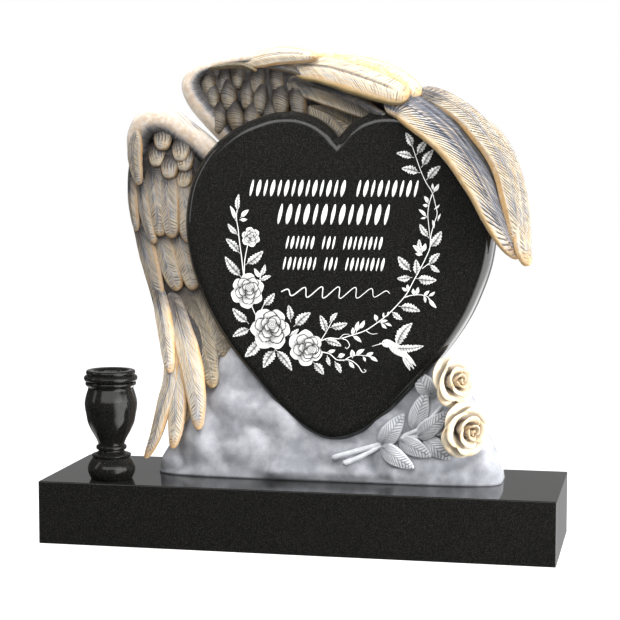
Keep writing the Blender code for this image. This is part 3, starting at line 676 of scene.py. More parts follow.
def blade_height(at, carving, relief):
    """How far each point stands before the spine: a bowed face with its relief, a round edge and a back."""
    rim = np.minimum(carving.thickness / 2, 0.8 * np.maximum(at.width, 1e-5))
    turn_down = np.clip((np.abs(at.across) * at.width - (at.width - rim)) / rim, 0.0, 1.0)
    near_tip = np.minimum(at.part * 3, 1.0)
    drop = (carving.thickness / 2) * (1 - np.sqrt(np.maximum(1 - turn_down**2, 0.0))) * near_tip
    bow = carving.camber * at.part * (1 - np.abs(at.across) ** 1.7)
    bow -= carving.dip * at.plain * at.from_rachis * at.part
    thick = carving.thickness * near_tip
    behind = 0.6 * bow - thick + drop * (np.abs(at.across) < 1)
    height = np.where(at.front, bow + relief - drop, behind)
    return np.where(np.abs(at.across) > 0.9999, bow - thick / 2, height)


def blade_tints(at, carving, tone, groove):
    """The marks of a blade's patina: its grooves, gold margins, slate and olive, with painted shade at its
    root and on a side that another feather covers.
    """
    edge = ease(1 - carving.margin, 1 - 0.35 * carving.margin, at.from_rachis)
    edge = np.maximum(edge, ease(0.90, 0.99, at.share))
    # Painted shadow at the root: darker marks, more slate and no gold
    near_root = 1 - ease(0.0, carving.shadow_reach, at.share)
    far_side = carving.far * ease(0.25, 1.0, at.across)
    edge = edge * (1 - np.minimum(1.6 * far_side, 1.0)) * (1 - carving.shadow * near_root) * (1 - at.plain)
    slate = carving.slate + tone + carving.grey * np.exp(-((at.from_rachis / 0.40) ** 2)) + 0.5 * near_root
    # Painted shade: slate over the side under the next feather
    covered = ease(-0.18, 0.08, at.across - carving.rachis) * carving.shaded_plain_right
    slate = np.maximum(slate, (0.85 + 0.15 * ease(0.1, 0.7, at.from_rachis)) * covered) + far_side
    return {
        "groove": np.where(at.front, np.clip(groove + carving.shadow * near_root, 0, 1), 0.0),
        "margin": np.where(at.front, edge, BACK_MARGIN),
        "slate": np.clip(np.where(at.front, slate, BACK_SLATE), 0, 1),
        # Olive on the left edge: partly the patina's colour, partly painted shade on the underside
        "hollow": carving.hollow + carving.under * ease(0.45, 0.95, -at.across) * at.front,
    }


def blade(name, points, half_width, roll, carving, seed):
    """A carved feather or leaf: a closed blade whose rows follow its barbs, so that each barb is cut in."""
    spine = Spine(points, roll)
    barbs = max(int(round(spine.length / carving.pitch)), 4)
    mesh, column, row = sleeve(name, carving.front + carving.back, barbs * carving.rows_per_barb)
    at = BladePlaces(column, row, spine, half_width, carving)
    cut, hairs, tone = barb_cuts(at, carving, barbs, seed)
    line = quill_line(at, carving)
    furrows = furrow_lines(at)
    lip = carving.lip * at.part * (1 - at.plain)
    lip = lip * np.exp(-(((at.from_rachis - LIP_PLACE) / LIP_BREADTH) ** 2))
    relief = lip - carving.depth * (cut + 0.45 * hairs + 0.8 * furrows) - carving.quill_depth * line
    height = blade_height(at, carving, relief)
    middle, side, face = spine.frame(at.share)
    wobble = 1 + 0.012 * np.sin(at.share * 31 + seed) * ease(0.5, 1, at.from_rachis)
    places = middle + side * (at.across * at.width * wobble)[:, None] + face * height[:, None]
    groove = cut * 0.9 + hairs * 0.40 + line * 0.8 + furrows * 0.5
    # Painted shade, darker towards the covered side's edge
    groove = groove + 0.10 * at.plain * ease(0.35, 1.0, at.from_rachis)
    return shape_mesh(
        mesh, places, **blade_tints(at, carving, tone, groove),
        barb=row * barbs + PATTERN_SHIFT_ALONG * seed,
        vane=at.across * half_width / PATTERN_WIDTH + PATTERN_SHIFT_ACROSS * seed,
    )


# Tints of a limb, as (slate, hollow, margin, darkness of grooves and painted shade): one seen only between
# feathers and painted dark as shade, a smooth stone root, an arm with its own finish, and a stem
SHADED_RECESS = (0.9, 0.3, 0.0, 0.95)
SMOOTH = (0.35, 0.0, 0.2, 0.0)
BARE = (0.0, 0.0, 0.05, 0.0)
PLAIN = (0.0, 0.0, 0.0, 0.0)


def limb(name, points, half_widths, half_depths, tones, columns=32, rows=90, hairs=0, hair_side=0.0):
    """A smooth limb of oval section, its front painted dark as shade where its tones ask, with fine hair
    strokes cut along one side where asked and painted shade darkening that side.
    """
    spine = Spine(points)
    mesh, column, share = sleeve(name, columns, rows)
    turn = column / columns * math.tau
    halves = curve_through(np.column_stack([half_widths, half_depths]), spine.knot(share))

    def opening(from_end, half_width):
        """How wide the limb's round end has opened at this share from it."""
        return np.sqrt(1 - (1 - ease(0, 0.5, from_end * spine.length / half_width / 2)) ** 2)

    opened = opening(share, half_widths[0]) * opening(1 - share, half_widths[-1])
    halves = halves * np.maximum(opened, 0.03)[:, None]
    slate, hollow, margin, dark = tones
    # Painted shade: the front, seen only between feathers, is darkened and slated by the tones; the unseen
    # back is paler
    front = ease(0.0, 0.3, np.cos(turn))
    groove = dark * front
    marks = {"slate": BARE_SLATE + (slate - BARE_SLATE) * front, "hollow": hollow * front, "margin": margin}
    sunk = 0.0
    if hairs:
        towards = np.sin(turn) * hair_side * 0.85 + np.cos(turn) * 0.45
        swept = share * hairs + 2.6 * towards + 0.5 * np.sin(share * 31)
        strokes = (0.5 + 0.5 * np.cos(math.tau * swept)) ** 3
        reach = 0.5 + 0.25 * np.sin(share * 47) + 0.25 * np.sin(share * 19 + 2)
        # Hair strokes cut in, and painted shade that darkens the side towards the hollow
        groove = 0.30 * strokes * ease(0.35 + 0.4 * reach, 0.95, towards) + 0.95 * ease(0.50, 0.98, towards)
        groove = np.minimum(groove * ease(0.0, 0.1, share) * (1 - ease(0.92, 1.0, share)), 1.0)
        sunk = groove * 0.05
        warm = ease(-0.75, 0.20, towards) * (1 - ease(0.55, 0.9, towards))
        # Painted shade: more slate towards the hollow
        marks["slate"] = np.clip(slate + 0.7 * ease(0.30, 0.95, towards), 0, 1)
        marks["margin"] = np.clip(margin + 0.75 * warm, 0, 1)
    middle, side, face = spine.frame(share)
    sideways = np.sin(turn) * halves[:, 0] * (1 - sunk)
    forwards = np.cos(turn) * halves[:, 1] * (1 - sunk)
    places = middle + side * sideways[:, None] + face * forwards[:, None]
    signed = (turn + math.pi) % math.tau - math.pi
    return shape_mesh(
        mesh, places, **marks,
        groove=groove * 0.9,
        barb=signed * 2.2 + 0.8 * np.sin(share * 11),
        vane=share * spine.length / (2 * PATTERN_WIDTH),
    )


# Feathers of the left wing: name, half width, roll in degrees, carving, and points from root to tip, in
# shares of the heart
LEFT_QUILLS = (
    ("primary_fifth", 0.030, 8, REAR_QUILL,
     ((-0.94, 0.47, 0.12), (-0.83, 0.36, 0.05), (-0.745, 0.235, -0.02))),
    ("primary_fourth", 0.037, 8, REAR_QUILL,
     ((-1.04, 0.46, 0.12), (-0.93, 0.34, 0.02), (-0.83, 0.14, -0.22))),
    ("primary_rear", 0.034, 0, replace(QUILL, slate=0.1, hollow=0.7, tip=2.2),
     ((-1.08, 0.38, 0.10), (-1.045, 0.20, -0.10), (-1.035, 0.02, -0.25))),
    ("primary_second", 0.026, -4, QUILL,
     ((-1.16, 0.40, 0.12), (-1.09, 0.23, -0.20), (-1.062, 0.10, -0.40), (-1.068, 0.02, -0.47),
      (-1.088, -0.052, -0.50))),
    ("primary_outer", 0.022, -12, QUILL,
     ((-1.175, 0.44, 0.15), (-1.118, 0.29, -0.15), (-1.108, 0.17, -0.33), (-1.148, 0.09, -0.42),
      (-1.205, -0.01, -0.46), (-1.276, -0.088, -0.46))),
    ("primary_third", 0.030, 4, QUILL,
     ((-1.12, 0.44, 0.05), (-1.03, 0.31, -0.20), (-0.96, 0.20, -0.40), (-0.925, 0.10, -0.47),
      (-0.911, 0.010, -0.50))),
    ("overlay", 0.022, -10, replace(QUILL, tip=3.5),
     ((-1.215, 0.46, -0.05), (-1.147, 0.32, -0.25), (-1.106, 0.187, -0.47))),
)
LEFT_COVERTS = (
    ("long_covert_0", 0.028, -22, COVERT,
     ((-1.348, 0.66, 0.22), (-1.266, 0.53, 0.05), (-1.190, 0.395, -0.10))),
    ("long_covert_1", 0.029, -6, COVERT, ((-1.216, 0.65, 0.15), (-1.137, 0.53, 0.0), (-1.063, 0.445, -0.15))),
    ("long_covert_2", 0.029, 6, COVERT, ((-1.09, 0.65, 0.15), (-1.009, 0.532, 0.0), (-0.955, 0.448, -0.12))),
    ("long_covert_3", 0.029, 12, COVERT,
     ((-0.965, 0.65, 0.20), (-0.894, 0.533, 0.12), (-0.839, 0.436, 0.05))),
    ("covert_0", 0.030, -8, COVERT, ((-1.24, 0.84, 0.12), (-1.215, 0.727, -0.02), (-1.18, 0.615, -0.12))),
    ("covert_1", 0.029, -2, COVERT, ((-1.15, 0.83, 0.08), (-1.125, 0.711, -0.08), (-1.098, 0.610, -0.20))),
    ("covert_2", 0.030, 8, COVERT, ((-1.045, 0.83, 0.16), (-1.012, 0.69, 0.0), (-0.985, 0.595, -0.10))),
    ("edge_covert_2", 0.020, -20, COVERT,
     ((-1.33, 0.80, 0.15), (-1.29, 0.689, 0.02), (-1.229, 0.590, -0.08))),
    ("edge_covert_1", 0.019, -38, EDGE_COVERT,
     ((-1.400, 0.80, 0.25), (-1.385, 0.711, 0.18), (-1.362, 0.628, 0.12))),
    ("edge_covert_0", 0.022, -16,
     replace(EDGE_COVERT, shadow=0.0, root=0.12, grey=0.3, margin=0.24, lean=3.4, wear=0.8,
             shadow_reach=0.02),
     ((-1.322, 0.948, -0.34), (-1.342, 0.865, -0.29), (-1.323, 0.775, -0.18))),
)

# Small coverts of the left wing: tips only
LEFT_SCALES = (
    (-1.030, 0.765, 0.02),
    (-1.025, 0.817, -0.02),
    (-1.120, 0.795, -0.10),
    (-1.210, 0.832, -0.02),
    (-1.045, 0.848, -0.08),
    (-1.165, 0.884, -0.12),
)
LEFT_ARM = ((-0.78, 0.77, 0.90), (-0.87, 0.865, 0.55), (-1.02, 0.932, 0.30), (-1.15, 0.972, 0.16),
            (-1.265, 0.968, 0.12), (-1.335, 0.925, 0.18), (-1.355, 0.86, 0.25))
LEFT_ARM_HALF = (0.030, 0.032, 0.033, 0.034, 0.034, 0.030, 0.022)
LEFT_BODY = ((-1.16, 0.94, 0.45), (-1.17, 0.78, 0.42), (-1.12, 0.60, 0.40), (-1.05, 0.42, 0.30),
             (-1.02, 0.26, 0.02), (-1.02, 0.14, -0.15))
LEFT_BODY_HALF = (0.080, 0.098, 0.094, 0.080, 0.060, 0.038)
LEFT_BODY_DEPTH = (0.034, 0.030, 0.026, 0.022, 0.020, 0.012)
LEFT_ROOT = ((-1.16, 0.80, 0.62), (-0.97, 0.73, 0.95), (-0.74, 0.60, 1.10), (-0.50, 0.44, 1.10))
LEFT_ROOT_HALF = (0.050, 0.074, 0.072, 0.045)

# Feathers of the upper wing, as above, each over those before it
UPPER_FLIGHT = (
    ("primary_inner", 0.045, 18,
     replace(PRIMARY, rachis=0.04, shaded_plain_right=True, dip=0.006, reach=0.74, margin=0.40, slate=0.05, grey=0.7,
             pitch=0.0125, depth=0.0044, wear=0.45, hair=0.15, tip=2.0, start=-0.2, lean=0.0, sweep=2.1,
             quill_depth=0.0, camber=0.007, rows_per_barb=10, under=0.5),
     ((0.300, 1.035, -0.50), (0.378, 1.029, -0.60), (0.463, 1.014, -0.72), (0.632, 0.957, -0.93),
      (0.749, 0.904, -1.00), (0.903, 0.794, -1.05), (0.993, 0.703, -1.03), (1.078, 0.618, -0.97),
      (1.156, 0.565, -0.93))),
    ("primary_outer", 0.030, 38,
     replace(PRIMARY, thickness=0.020, pitch=0.0084, depth=0.0026, margin=0.26, reach=0.80, wear=0.4,
             lean=0.0, sweep=1.4, grey=0.45, slate=0.05, far=0.4, hollow=0.2),
     ((0.525, 1.065, -0.50), (0.672, 1.038, -0.62), (0.818, 0.993, -0.74), (0.913, 0.945, -0.80),
      (1.019, 0.877, -0.83), (1.072, 0.818, -0.83), (1.107, 0.744, -0.84), (1.134, 0.673, -0.86),
      (1.148, 0.599, -0.88))),
    ("primary_edge", 0.030, 36,
     replace(PRIMARY, pitch=0.0078, depth=0.0024, margin=0.22, grey=0.45, slate=0.05, wear=0.4, lean=0.0,
             sweep=1.2, far=0.45, hollow=0.25),
     ((0.544, 1.054, -0.30), (0.722, 1.017, -0.42), (0.868, 0.966, -0.50), (1.000, 0.910, -0.54),
      (1.081, 0.838, -0.56), (1.133, 0.755, -0.58), (1.166, 0.672, -0.62), (1.190, 0.594, -0.96),
      (1.222, 0.545, -1.06))),
)
UPPER_COVERTS = (
    ("back_covert", 0.028, 30, LONG_COVERT,
     ((-0.063, 1.156, -0.05), (0.202, 1.130, -0.30), (0.397, 1.093, -0.45), (0.534, 1.050, -0.60))),
    ("long_covert", 0.041, 8, replace(LONG_COVERT, rachis=0.12, tip=4.0, margin=0.55, under=0.9),
     ((-0.300, 1.140, -0.02), (-0.060, 1.130, -0.42), (0.183, 1.096, -0.62), (0.357, 1.065, -0.72),
      (0.466, 1.045, -0.80))),
    ("crest_covert", 0.022, 0, replace(LONG_COVERT, rachis=0.25, tip=2.6, root=0.3, camber=0.014),
     ((-0.640, 1.150, 0.05), (-0.38, 1.173, -0.22), (-0.128, 1.168, -0.60))),
)
UPPER_RIDGES = (
    ("under_long", 0.011, -10, replace(RIDGE, slate=0.5, margin=0.1),
     ((-0.224, 1.108, -0.05), (0.038, 1.050, -0.15), (0.235, 1.003, -0.30), (0.399, 0.961, -0.45))),
    ("under_short", 0.011, -10, replace(RIDGE, slate=0.3),
     ((-0.585, 1.154, 0.0), (-0.406, 1.143, -0.05), (-0.274, 1.127, -0.10), (-0.202, 1.096, -0.12))),
    ("under_first", 0.009, -10, replace(RIDGE, hollow=0.5, slate=0.3),
     ((-0.898, 1.136, 0.05), (-0.731, 1.148, 0.02), (-0.617, 1.147, -0.02), (-0.540, 1.128, -0.05))),
)
UPPER_INNER = (
    ("inner_upper", 0.028, -6, INNER, ((-0.36, 1.095, 0.35), (-0.021, 1.045, 0.15), (0.250, 0.990, -0.05))),
    ("inner_third", 0.034, -6, INNER, ((-0.36, 1.080, 0.45), (-0.040, 1.030, 0.50), (0.200, 0.940, 0.58))),
    ("inner_lower", 0.040, -6, replace(INNER, slate=0.0),
     ((-0.42, 1.060, 0.50), (-0.150, 0.997, 0.55), (0.040, 0.905, 0.62))),
)

# Plump coverts in the upper wing's hollow: centres across and up, in rows from the back one
UPPER_LOBES = (
    ((-0.880, 1.090), (-0.786, 1.099), (-0.685, 1.118), (-0.556, 1.102), (-0.427, 1.102), (-0.312, 1.080)),
    ((-0.854, 1.061), (-0.745, 1.055), (-0.630, 1.058), (-0.529, 1.045), (-0.407, 1.039), (-0.285, 1.033)),
    ((-0.800, 0.985), (-0.690, 0.992), (-0.585, 0.985), (-0.470, 0.990)),
)
LOBE_DEPTH = 0.46
LOBE_ROW_STEP = 0.09
LOBE_HALF_WIDTH = 0.0205
SCALE_HALF_WIDTH = 0.024
UPPER_ARM = ((-0.60, 0.87, 0.95), (-0.74, 0.92, 0.60), (-0.86, 0.985, 0.28), (-0.955, 1.045, 0.18),
             (-0.985, 1.092, 0.14), (-0.935, 1.128, 0.12), (-0.841, 1.145, 0.10), (-0.707, 1.160, 0.07),
             (-0.545, 1.168, -0.02), (-0.44, 1.168, -0.02))
UPPER_ARM_HALF = (0.026, 0.024, 0.023, 0.023, 0.021, 0.015, 0.010, 0.010, 0.011, 0.008)
UPPER_BODY = ((-1.000, 1.054, 0.64), (-0.80, 1.068, 0.78), (-0.52, 1.075, 0.80), (-0.20, 1.092, 0.64),
              (0.12, 1.080, 0.50), (0.40, 1.035, 0.08), (0.68, 0.945, -0.45), (0.93, 0.83, -0.50),
              (1.08, 0.71, -0.50), (1.18, 0.60, -0.68))
UPPER_BODY_HALF = (0.046, 0.060, 0.072, 0.060, 0.046, 0.042, 0.048, 0.044, 0.032, 0.014)
UPPER_BODY_DEPTH = (0.022, 0.030, 0.030, 0.029, 0.032, 0.036, 0.036, 0.030, 0.022, 0.012)
UPPER_ROOT = ((-0.58, 1.10, 0.98), (-0.47, 0.95, 1.04), (-0.28, 0.78, 1.08), (-0.10, 0.60, 1.06))
UPPER_ROOT_HALF = (0.075, 0.090, 0.080, 0.045)

def feathers(rows, seed):
    """The carved meshes of a table of feathers."""
    return [
        blade(name, heart_points(points), half, roll, carving, seed + number)
        for number, (name, half, roll, carving, points) in enumerate(rows)
    ]


def scale_mesh(tip, number):
    """A small covert whose tip is at this place on the heart."""
    end = np.array(heart_point(*tip))
    root = end + (0, 0.014, 0.055)
    middle = (end + root) / 2 - (0, 0.004, 0)
    return blade(f"scale_{number}", [root, middle, end], SCALE_HALF_WIDTH, 0, SCALE, 300 + number)


def lobe_mesh(across, up, row, number):
    """A plump covert of the upper wing's hollow, a little uneven in its place, lean, size and turn."""
    draw = np.random.default_rng(900 + number)
    centre = np.array(heart_point(across, up, LOBE_DEPTH - LOBE_ROW_STEP * row))
    centre = centre + draw.uniform(-0.004, 0.004, 3)
    lean = draw.uniform(-0.012, 0.004)
    points = [centre + (lean, 0.012, 0.034), centre - (0, 0.003, 0), centre + (-lean, -0.002, -0.038)]
    half = LOBE_HALF_WIDTH * draw.uniform(0.88, 1.1)
    return blade(f"lobe_{number}", points, half, draw.uniform(-14, 14), LOBE, 500 + number)


def wing_root(name, points, halves, flatness):
    """The stone root that carries a wing from the back of the rock, this flat a share of its width."""
    return limb(name, heart_points(points), halves, [flatness * half for half in halves], SMOOTH)


def make_left_wing(limbs, bright, shaded):
    """The folded wing at the left: its long feathers, its coverts over them, and the smooth arm."""
    dress(joined("left_wing_quills", feathers(LEFT_QUILLS, 10), bright), "wing_patina", "left_wing")
    shapes = feathers(LEFT_COVERTS, 20)
    shapes += [scale_mesh(tip, number) for number, tip in enumerate(LEFT_SCALES)]
    # The coverts take a darker copy of the patina, as painted shade
    dress(joined("left_wing_coverts", shapes, shaded), "wing_patina")
    arm = limb("left_arm", heart_points(LEFT_ARM), LEFT_ARM_HALF, LEFT_ARM_HALF, BARE, columns=44, rows=230,
               hairs=60, hair_side=1.0)
    root = wing_root("left_root", LEFT_ROOT, LEFT_ROOT_HALF, 0.6)
    body = limb("left_body", heart_points(LEFT_BODY), LEFT_BODY_HALF, LEFT_BODY_DEPTH, SHADED_RECESS)
    dress(joined("left_wing_arm", [arm, root, body], limbs), "wing_patina")


def make_upper_wing(limbs, bright, shaded, deep_shaded):
    """The wing that shelters the heart: flight feathers, coverts, and the hollow with its arm."""
    dress(joined("upper_wing_flight", feathers(UPPER_FLIGHT, 40), bright), "wing_patina", "upper_wing")
    dress(joined("upper_wing_coverts", feathers(UPPER_COVERTS, 60), bright), "wing_patina")
    # The inner feathers and the hollow take darker copies of the patina, as painted shade
    dress(joined("upper_wing_inner", feathers(UPPER_INNER, 70), shaded), "wing_patina")
    shapes = feathers(UPPER_RIDGES, 80)
    for row, centres in enumerate(UPPER_LOBES):
        shapes += [lobe_mesh(*centre, row, 10 * row + n) for n, centre in enumerate(centres)]
    dress(joined("upper_wing_hollow", shapes, deep_shaded), "wing_patina")
    arm = limb("upper_arm", heart_points(UPPER_ARM), UPPER_ARM_HALF, UPPER_ARM_HALF, BARE, columns=40,
               rows=240, hairs=80, hair_side=-1.0)
    root = wing_root("upper_root", UPPER_ROOT, UPPER_ROOT_HALF, 0.5)
    body = limb("upper_body", heart_points(UPPER_BODY), UPPER_BODY_HALF, UPPER_BODY_DEPTH, SHADED_RECESS, columns=40,
                rows=140)
    dress(joined("upper_wing_arm", [arm, root, body], limbs), "wing_patina")


# Heart, slab and vase


def make_slab(settings, finish):
    """The base slab, with a fine polished arris."""
    bm = bmesh.new()
    bmesh.ops.create_cube(bm, size=1)
    bmesh.ops.scale(bm, vec=SLAB_HIGH - SLAB_LOW, verts=bm.verts)
    bmesh.ops.translate(bm, vec=(SLAB_HIGH + SLAB_LOW) / 2, verts=bm.verts)
    bmesh.ops.bevel(
        bm, geom=bm.edges, offset=settings.arris, segments=3, profile=0.5, affect="EDGES", material=-1
    )
    piece = joined("polished_slab", [mesh_of(bm, "polished_slab")], finish)
    weigh = piece.modifiers.new("flat faces", "WEIGHTED_NORMAL")
    weigh.keep_sharp = True
    dress(piece, "black_granite", "base_slab")


def make_vase(settings, finish):
    """The turned vase: up the bore, over the lip and down its turned members."""
    middle = (VASE_LOW + VASE_HIGH) / 2
    lip = (VASE_HIGH.x - VASE_LOW.x) / 2
    height = VASE_HIGH.z - VASE_LOW.z
    floor = height - settings.bore_depth
    mouth = settings.bore_mouth / 2
    end = settings.bore_end / 2
    profile = [(0.0, floor), (end - 0.003, floor), (end, floor + 0.003), (mouth, height - 0.008)]
    profile += [(mouth + 0.002, height - 0.003), (mouth + 0.006, height)]
    for member in VASE_MEMBERS:
        points = np.array([(radius * lip, up * height) for radius, up in member])
        profile += [tuple(point) for point in curve_through(points, np.linspace(0, 1, 4 * len(member)))]
    profile.append((0.0, 0.0))
    bm = bmesh.new()
    row = [bm.verts.new((radius, 0.0, up)) for radius, up in profile]
    geometry = row + [bm.edges.new(pair) for pair in zip(row, row[1:])]
    bmesh.ops.spin(
        bm, geom=geometry, cent=(0, 0, 0), axis=(0, 0, 1), angle=math.tau, steps=88, use_merge=True
    )
    bmesh.ops.remove_doubles(bm, verts=bm.verts, dist=0.00001)
    bmesh.ops.recalc_face_normals(bm, faces=bm.faces)
    bmesh.ops.translate(bm, vec=(middle.x, middle.y, SEAT_Z), verts=bm.verts)
    vase = joined("turned_vase", [mesh_of(bm, "turned_vase")], finish, smooth_angle=40)
    dress(vase, "black_granite", "flower_vase")


def make_heart(settings, finish):
    """The heart tablet: a pillowed edge round a flat polished face."""
    edge = settings.edge_round
    curve = bpy.data.curves.new("heart", "CURVE")
    curve.dimensions = "2D"
    curve.fill_mode = "BOTH"
    curve.resolution_u = 14
    curve.bevel_depth = edge
    curve.bevel_resolution = 9
    curve.offset = -edge
    curve.extrude = HEART_THICKNESS / 2 - edge
    right = list(HEART_HALF_OUTLINE)
    outline = right + [(-across, up) for across, up in reversed(right[1:-1])]
    spline = curve.splines.new("BEZIER")
    spline.use_cyclic_u = True
    spline.bezier_points.add(len(outline) - 1)
    for knot, (across, up) in zip(spline.bezier_points, outline):
        across += HEART_TIP_LEAN * (1 - ease(0.1, 0.4, up))
        knot.co = (across * HEART_WIDTH / 2, up * HEART_HEIGHT, 0)
        knot.handle_left_type = knot.handle_right_type = "AUTO"
    cleft = spline.bezier_points[0]
    cleft.handle_left_type = cleft.handle_right_type = "VECTOR"
    drawn = bpy.data.objects.new("heart", curve)
    bpy.context.scene.collection.objects.link(drawn)
    graph = bpy.context.evaluated_depsgraph_get()
    mesh = bpy.data.meshes.new_from_object(drawn.evaluated_get(graph))
    bpy.data.objects.remove(drawn)
    bm = bmesh.new()
    bm.from_mesh(mesh)
    bmesh.ops.remove_doubles(bm, verts=bm.verts, dist=0.00001)
    for vert in bm.verts:
        across, up, forward = vert.co
        vert.co = (HEART_X + across, HEART_Y - forward, HEART_TIP_Z + up)
    bmesh.ops.recalc_face_normals(bm, faces=bm.faces)
    for towards in (-1, 1):
        flat = [face for face in bm.faces if face.normal.y * towards > 0.9999]
        bmesh.ops.inset_region(bm, faces=flat, thickness=HEART_FACE_INSET)
    bm.to_mesh(mesh)
    bm.free()
    mesh.name = "polished_heart"
    dress(joined("polished_heart", [mesh], finish), "black_granite", "heart_tablet")


# Rock


def rock_ends(height):
    """The rock's left and right ends at these heights above the slab."""
    rows = np.array(ROCK_ENDS)
    left = np.interp(height / ROCK_HEIGHT, rows[:, 0], rows[:, 1])
    right = np.interp(height / ROCK_HEIGHT, rows[:, 0], rows[:, 2])
    return ROCK_CENTRE_X - left * ROCK_LENGTH / 2, ROCK_CENTRE_X + right * ROCK_LENGTH / 2


# Spacing and height of the rock's soft swells, of its folds with creases between them, and of its dents,
# and how far the folds are bent
SWELL_SPACING, SWELL_HEIGHT = 0.130, 0.006
FOLD_SPACING, FOLD_HEIGHT = 0.105, 0.036
DENT_SPACING, DENT_HEIGHT = 0.034, 0.0016
BEND_SPACING, BEND_REACH = 0.060, 0.016
# Keeps the bends the same in each run
ROCK_SEED = 1
# Depths at which the noise is read for the rock's front and for its back
FRONT_SLICE = 0.3
BACK_SLICE = 0.9
ROCK_COLUMNS = 180
ROCK_ROWS = 108
# How dark the painted shade in the rock's creases is
CREASE_SHADE = 0.28


def swell(x, depth, height):
    """The rock's soft lumps, in metres, at each place, and how deep in a crease it lies, from 0 to 1."""
    noise.seed_set(ROCK_SEED)
    lumps = []
    creases = []
    for place in zip(x, np.broadcast_to(depth, np.shape(x)), height):
        point = Vector(place)
        bent = point + noise.noise_vector(point / BEND_SPACING) * BEND_REACH
        broad = noise.noise(point / SWELL_SPACING) * SWELL_HEIGHT
        fold = abs(noise.noise(bent / FOLD_SPACING + Vector((3, 1, 7))))
        dent = noise.noise(point / DENT_SPACING + Vector((9, 4, 2))) * DENT_HEIGHT
        lumps.append(broad + FOLD_HEIGHT * math.sqrt(fold**2 + 0.0016) - 0.003 + dent)
        creases.append(math.exp(-((fold / 0.07) ** 2)))
    return np.array(lumps), np.array(creases)


def fullness(across):
    """How deep the rock is at a share of half its length: nearly full depth up to its rounded ends."""
    return np.maximum(1 - np.abs(across) ** 5, 0.0) ** 0.2


def rock_front(x, height):
    """Where the rock's front face lies at each x and height above the slab."""
    left, right = rock_ends(height)
    middle, half = (left + right) / 2, (right - left) / 2
    across = np.minimum(np.abs((x - middle) / half), 1.0)
    foot = np.minimum(height / ROCK_FOOT_HEIGHT, 1.0)
    forward = ROCK_FOOT_FORWARD + (ROCK_FRONT_AT_HEART - ROCK_FOOT_FORWARD) * foot
    centre = (ROCK_BACK - forward) / 2
    lumps = swell(x, FRONT_SLICE, height)[0] * np.minimum(height / 0.02, 1.0)
    return centre - (centre + forward) * fullness(across) - lumps


def on_rock(x, height, proud):
    """A place this far in front of the rock's front face."""
    front = rock_front(np.array([x]), np.array([height]))[0]
    return (x, front - proud, SEAT_Z + height)


def make_rock(finish):
    """The carved rock that carries the heart, with soft lumps all over."""
    mesh, column, row = sleeve("carved_rock", ROCK_COLUMNS, ROCK_ROWS)
    row = row + 0.02 * np.sin(row * math.tau) / math.tau
    height = row * ROCK_HEIGHT
    turn = column / ROCK_COLUMNS * math.tau
    left, right = rock_ends(height)
    middle = (left + right) / 2
    sine, cosine = np.cos(turn), np.sin(turn)
    across = np.sign(cosine) * np.abs(cosine) ** 0.55
    full = fullness(across)
    slope = ROCK_BACK + (ROCK_TOP_BACK - ROCK_BACK) * height / ROCK_HEIGHT
    ridge = (ROCK_BACK - ROCK_FOOT_FORWARD) / 2
    x = middle + across * (right - left) / 2
    back = ridge + (slope - ridge) * full + swell(x, BACK_SLICE, height)[0] * full
    y = np.where(sine < 0, rock_front(x, height), back)
    y = np.where(np.abs(sine) < 0.01, ridge, y)
    near_top = np.clip((height - ROCK_HEIGHT + ROCK_CROWN) / (ROCK_CROWN + 0.001), 0, 1)
    crown = np.sqrt(np.clip(1 - near_top**2, 0, 1))
    y = ridge + (y - ridge) * crown
    x = middle + (x - middle) * (0.4 + 0.6 * crown)
    creases = swell(x, np.where(sine < 0, FRONT_SLICE, BACK_SLICE), height)[1]
    shape_mesh(mesh, np.column_stack([x, y, SEAT_Z + height]), groove=CREASE_SHADE * creases)
    dress(joined("carved_rock", [mesh], finish), "grey_stone", "rock_body")


# Leaves of the sprig: (stalk end x, height, tip x, height, half width), heights above the slab
SPRIG_LEAVES = (
    (0.190, 0.089, 0.244, 0.166, 0.023),
    (0.232, 0.105, 0.310, 0.070, 0.022),
    (0.190, 0.089, 0.270, 0.041, 0.022),
    (0.268, 0.128, 0.295, 0.220, 0.023),
    (0.276, 0.112, 0.350, 0.175, 0.022),
    (0.292, 0.111, 0.354, 0.064, 0.022),
    (0.310, 0.210, 0.270, 0.268, 0.023),
)

# Stems of the sprig: (x, height) along each
SPRIG_STEMS = (
    ((0.073, 0.057), (0.123, 0.074), (0.180, 0.091), (0.240, 0.112), (0.290, 0.140), (0.335, 0.190)),
    ((0.102, 0.047), (0.143, 0.064), (0.195, 0.092)),
    ((0.232, 0.108), (0.285, 0.116), (0.360, 0.126)),
)


# How far a leaf stands before the rock at its stalk, middle and tip, and a stem
LEAF_PROUD = (0.006, 0.012, 0.007)
STEM_PROUD = 0.003
STEM_HALF_WIDTHS = (0.0066, 0.0050)


def make_sprig(finish):
    """The cut sprig of rose leaves and stems on the rock's front."""
    shapes = []
    for number, (x0, h0, x1, h1, half) in enumerate(SPRIG_LEAVES):
        route = ((x0, h0), ((x0 + x1) / 2, (h0 + h1) / 2), (x1, h1))
        points = [on_rock(x, height, proud) for (x, height), proud in zip(route, LEAF_PROUD)]
        shapes.append(blade(f"leaf_{number}", points, half, 0, LEAF, 700 + number))
    for number, route in enumerate(SPRIG_STEMS):
        points = [on_rock(x, height, STEM_PROUD) for x, height in route]
        halves = np.linspace(*STEM_HALF_WIDTHS, len(points))
        shapes.append(limb(f"stem_{number}", points, halves, halves, PLAIN, columns=20, rows=60))
    dress(joined("rose_sprig", shapes, finish), "grey_stone")


# Roses


# Sizes of a rose as shares of its width: a petal's thickness, how far each ring lies below the one inside
# it, and how far the rose's seat lies below the middle of its node
PETAL_THICKNESS = 0.045
RING_DROP = 0.010
SEAT_DROP = 0.22

